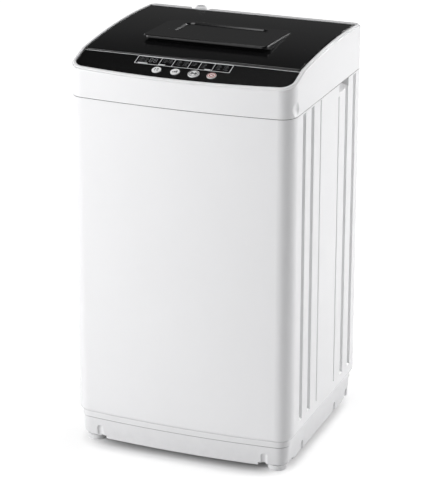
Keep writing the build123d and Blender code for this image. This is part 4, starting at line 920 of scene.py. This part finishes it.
class WASHER_OT_gaps_and_shade(bpy.types.Operator):
    """Draw dark bands round the machine: in the seam over the cabinet, a joint gap partly painted as shadow,
    and under the base's band, painted shade only
    """

    bl_idname = "washer.gaps"
    bl_label = "Joint gaps and painted shade"

    def execute(self, context):
        _, sizes, _ = settings()
        clear, seam, shade = 1.2 * MM, 0.9 * MM, 1.3 * MM
        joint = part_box("cabinet")[1].z
        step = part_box("base")[1].z - sizes.band
        # The seam band is a dark joint gap with painted shadow in it. The step band is painted shade under
        # the band's overhang.
        self.gap("seam_gap", "top_frame", joint + clear, joint - seam / 2, seam, out=-0.35 * MM)
        self.gap("step_gap", "base", step - clear, step - shade, shade, out=0.25 * MM)
        return {"FINISHED"}

    def gap(self, name, node, cut, low, tall, out):
        """A thin dark band round a node's outline, painted shade where a joint or step is in its own shadow.

        The outline is taken at the height cut and grown by out. The band stands on low and is tall high.
        """
        wall = 0.3 * MM
        form = bmesh.new()
        form.from_mesh(frame["nodes"][node].data)
        bmesh.ops.remove_doubles(form, verts=form.verts, dist=1e-6)
        bmesh.ops.bisect_plane(
            form,
            geom=form.verts[:] + form.edges[:] + form.faces[:],
            plane_co=(0, 0, cut),
            plane_no=(0, 0, 1),
            clear_inner=True,
            clear_outer=True,
        )
        edges = widest_loop(form)
        share = 1 + out / max(v.co.x for v in form.verts)
        bmesh.ops.scale(form, vec=(share, share, 1.0), verts=form.verts)
        bmesh.ops.translate(form, vec=(0, 0, low - cut), verts=form.verts)
        raised = bmesh.ops.extrude_edge_only(form, edges=edges)["geom"]
        bmesh.ops.translate(form, vec=(0, 0, tall), verts=new_points(raised))
        bmesh.ops.recalc_face_normals(form, faces=form.faces)
        bmesh.ops.solidify(form, geom=form.faces, thickness=wall)
        # The band takes the dark rubber material as its painted shade.
        finished(name, "cabinet", form, bpy.data.materials["black rubber"])


class WASHER_OT_rear(bpy.types.Operator):
    """Make the drain barbs and the back panel's screws"""

    bl_idname = "washer.rear"
    bl_label = "Rear fittings"

    def execute(self, context):
        _, sizes, _ = settings()
        self.barbs(mount_named("drain_spigot"), sizes)
        self.screws()
        return {"FINISHED"}

    def barbs(self, mount, sizes):
        """Two sloped rings round the drain spigot."""
        radius = mount["dims"]["r_mm"] * MM
        x, _, z = mount["pos_m"]
        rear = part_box("drain_outlet")[1].y
        half, root = 1.2 * MM, radius - 0.3 * MM
        profile = ((root, half), (radius + 0.15 * MM, half), (radius + sizes.barb, -1.0 * MM), (root, -half))
        form = bmesh.new()
        for back in (2.2, 5.8):
            turned_ring(form, (x, rear - back * MM, z), profile)
        finished("drain_barbs", "cabinet", form, bpy.data.materials["grey fitting"])

    def screws(self):
        """Cross recess heads in place of the plain ones."""
        apart = 20.0 * MM
        heads = []
        for v in frame["nodes"]["back_screws"].data.vertices:
            head = next((head for head in heads if (head[0] - v.co).length < apart), None)
            if head is None:
                head = []
                heads.append(head)
            head.append(v.co.copy())
        form = bmesh.new()
        for head in heads:
            low, high = corners(head)
            middle = (low + high) / 2
            cross_head(form, (middle.x, high.y, middle.z), (high.x - low.x) / 2, high.y - low.y)
        piece = finished("panel_screws", "cabinet", form, bpy.data.materials["zinc steel"])
        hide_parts("back_screws")


class WASHER_OT_springs(bpy.types.Operator):
    """Wind the suspension springs with closed ends"""

    bl_idname = "washer.springs"
    bl_label = "Suspension springs"

    def execute(self, context):
        colours, sizes, _ = settings()
        low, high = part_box("suspension_springs")
        reach = sizes.coil + sizes.wire
        form = bmesh.new()
        for x in (low.x + reach, high.x - reach):
            for y in (low.y + reach, high.y - reach):
                wound_spring(form, (x, y), low.z, high.z, sizes.coil, sizes.wire)
        steel = plated_steel("spring steel", colours.spring, roughness=0.32)
        piece = finished("coil_springs", None, form, steel)
        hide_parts("suspension_springs")
        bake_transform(piece)
        return {"FINISHED"}


class WASHER_OT_hoses(bpy.types.Operator):
    """Mould the ribbed drain hose and the air tube"""

    bl_idname = "washer.hoses"
    bl_label = "Inner hoses"

    def execute(self, context):
        soft = bpy.data.materials["soft grey"]
        self.drain(soft)
        self.air(soft)
        return {"FINISHED"}

    def drain(self, soft):
        """A ribbed elbow from the valve to the outlet, thicker where it grips."""
        low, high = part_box("drain_hose")
        radius = (high.x - low.x) / 2
        middle = (low.x + high.x) / 2
        at = Vector((middle, low.y + radius, high.z))
        bend = 40.0 * MM
        drop = high.z - low.z - radius - bend
        reach = high.y - low.y - radius - bend
        thin, wall, grip = radius - 1.2 * MM, 3.0 * MM, 12.0 * MM
        form = bmesh.new()
        ring = bmesh.ops.create_circle(form, segments=36, radius=radius)["verts"]
        bmesh.ops.translate(form, vec=at, verts=ring)
        cuff = [(grip, radius)]
        steps = cuff + ribs(thin, radius, drop - grip, count=9)
        edges = pushed(form, edges_of(ring), at, (0, 0, -1), steps)
        at = at - Vector((0, 0, drop))
        turned = bmesh.ops.spin(
            form,
            geom=edges,
            cent=at + Vector((0, bend, 0)),
            axis=(1, 0, 0),
            angle=TURN / 4,
            steps=14,
            use_merge=False,
        )
        edges = new_edges(turned["geom_last"])
        at = at + Vector((0, bend, -bend))
        steps = ribs(thin, radius, reach - grip, count=3) + [(0.0, radius)] + cuff
        pushed(form, edges, at, (0, 1, 0), steps)
        bmesh.ops.recalc_face_normals(form, faces=form.faces)
        bmesh.ops.solidify(form, geom=form.faces, thickness=wall)
        piece = finished("ribbed_hose", None, form, soft)
        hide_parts("drain_hose")
        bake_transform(piece)

    def air(self, soft):
        """The thin tube from the air chamber up to the level sensor, with a cuff at each end."""
        low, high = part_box("air_tube")
        radius = (high.x - low.x) / 2
        cuff, step, wall, parts = 9.0 * MM, 0.6 * MM, 0.9 * MM, 24
        at = Vector(((low.x + high.x) / 2, (low.y + high.y) / 2, low.z))
        form = bmesh.new()
        ring = bmesh.ops.create_circle(form, segments=20, radius=radius)["verts"]
        bmesh.ops.translate(form, vec=at, verts=ring)
        thin = radius - step
        run = high.z - low.z - 2 * (cuff + step)
        steps = [(cuff, radius), (step, thin)]
        steps += [(run / parts, thin)] * parts
        steps += [(step, radius), (cuff, radius)]
        pushed(form, edges_of(ring), at, (0, 0, 1), steps)
        bmesh.ops.recalc_face_normals(form, faces=form.faces)
        bmesh.ops.solidify(form, geom=form.faces, thickness=wall)
        piece = finished("sensor_tube", None, form, soft)
        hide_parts("air_tube")
        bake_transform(piece)


class WASHER_OT_stage(bpy.types.Operator):
    """Set up the floor, lamps, surround and camera"""

    bl_idname = "washer.stage"
    bl_label = "Studio"

    def execute(self, context):
        _, _, studio = settings()
        self.floor(studio)
        self.surround(studio)
        for name, (place, size) in LAMPS.items():
            self.lamp(name + " lamp", place, size, getattr(studio, name))
        self.camera(studio)
        context.scene.view_settings.view_transform = "Standard"
        return {"FINISHED"}

    def floor(self, studio):
        """A wide pale floor with its own white glow, kept away from under and round the machine as a painted
        contact shadow.
        """
        half, sunk, square = 9.0, 0.0003, 6.0
        form = bmesh.new()
        bmesh.ops.create_grid(form, x_segments=1, y_segments=1, size=half)
        bmesh.ops.translate(form, vec=(0, 0, -sunk), verts=form.verts)
        mesh = bpy.data.meshes.new("floor")
        form.to_mesh(mesh)
        form.free()
        f = Finish(bpy.data.materials.new("pale floor"))
        colour = f.mix(f.noise(1.3, detail=2.0), scaled(studio.floor, 0.99), scaled(studio.floor, 1.01))
        sockets = {"Base Color": colour, "Roughness": 0.3, "Specular IOR Level": 0.3}
        lit = f.node("ShaderNodeBsdfPrincipled", inputs=sockets)
        glow = f.node("ShaderNodeEmission", inputs={"Color": (1, 1, 1, 1), "Strength": studio.glow})
        rays = ("Is Camera Ray", "Is Glossy Ray", "Is Transmission Ray")
        seen, shiny, clear = [f.node("ShaderNodeLightPath", output=ray) for ray in rays]
        # The glow fades in outwards from the machine's footprint: a painted contact shadow round the base.
        x, y = abs(f.along("X")), abs(f.along("Y"))
        away = (x ** square + y ** square) ** (1.0 / square)
        share = (seen + shiny + clear) * f.ramp(away, *GLOW_AND_SHADOW_STOPS)
        mesh.materials.append(f.close(f.node("ShaderNodeMixShader", inputs={0: share, 1: lit, 2: glow})))
        floor = bpy.data.objects.new("floor", mesh)
        bpy.context.scene.collection.objects.link(floor)

    def surround(self, studio):
        """A soft grey surround with a darker band above the horizon."""
        f = Finish(bpy.data.worlds.new("surround"), place="Generated")
        level = f.ramp(f.along("Z"), *SKY_STOPS)
        light = f.node("ShaderNodeBackground", inputs={"Color": level, "Strength": studio.sky})
        bpy.context.scene.world = f.close(light, "ShaderNodeOutputWorld")

    def lamp(self, name, place, size, power):
        """A soft lamp that faces the middle of the machine."""
        data = bpy.data.lights.new(name, "AREA")
        data.shape = "RECTANGLE"
        data.size, data.size_y = size
        data.energy = power
        lamp = bpy.data.objects.new(name, data)
        lamp.location = place
        lamp.rotation_mode = "QUATERNION"
        lamp.rotation_quaternion = (LIT_POINT - Vector(place)).to_track_quat("-Z", "Y")
        bpy.context.scene.collection.objects.link(lamp)

    def camera(self, studio):
        """The camera at the photograph's angle."""
        data = bpy.data.cameras.new("camera")
        data.sensor_width = 36.0
        data.lens = studio.lens
        data.clip_end = 60.0
        camera = bpy.data.objects.new("camera", data)
        turn, lift = studio.azimuth, studio.elevation
        flat = math.cos(lift)
        back = Vector((math.sin(turn) * flat, -math.cos(turn) * flat, math.sin(lift)))
        camera.location = SEEN_POINT + back * studio.distance
        camera.rotation_mode = "QUATERNION"
        camera.rotation_quaternion = (-back).to_track_quat("-Z", "Y")
        bpy.context.scene.collection.objects.link(camera)
        bpy.context.scene.camera = camera


STEPS = (
    WASHER_OT_shell,
    WASHER_OT_top,
    WASHER_OT_works,
    WASHER_OT_display,
    WASHER_OT_button_marks,
    WASHER_OT_inlet,
    WASHER_OT_gaps_and_shade,
    WASHER_OT_rear,
    WASHER_OT_springs,
    WASHER_OT_hoses,
    WASHER_OT_stage,
)


class WASHER_PT_looks(bpy.types.Panel):
    """Steps that dress the machine"""

    bl_idname = "WASHER_PT_looks"
    bl_label = "Washer looks"
    bl_space_type = "VIEW_3D"
    bl_region_type = "UI"
    bl_category = "Washer"

    def draw(self, context):
        for step in STEPS:
            self.layout.operator(step.bl_idname)
        for group in settings():
            box = self.layout.box()
            for key in group.bl_rna.properties.keys():
                if key not in ("rna_type", "name"):
                    box.prop(group, key)


CLASSES = (WasherColours, WasherSizes, WasherStudio, *STEPS, WASHER_PT_looks)
GROUPS = {"washer_colours": WasherColours, "washer_sizes": WasherSizes, "washer_studio": WasherStudio}


def register():
    """Adds the classes and the groups of values."""
    for item in CLASSES:
        bpy.utils.register_class(item)
    for name, group in GROUPS.items():
        setattr(bpy.types.Scene, name, bpy.props.PointerProperty(type=group))


def unregister():
    """Removes what register adds."""
    for name in GROUPS:
        delattr(bpy.types.Scene, name)
    for item in reversed(CLASSES):
        bpy.utils.unregister_class(item)


def main():
    """Runs every step in order."""
    register()
    for step in STEPS:
        group, name = step.bl_idname.split(".")
        getattr(getattr(bpy.ops, group), name)()


if __name__ == "__main__":
    main()
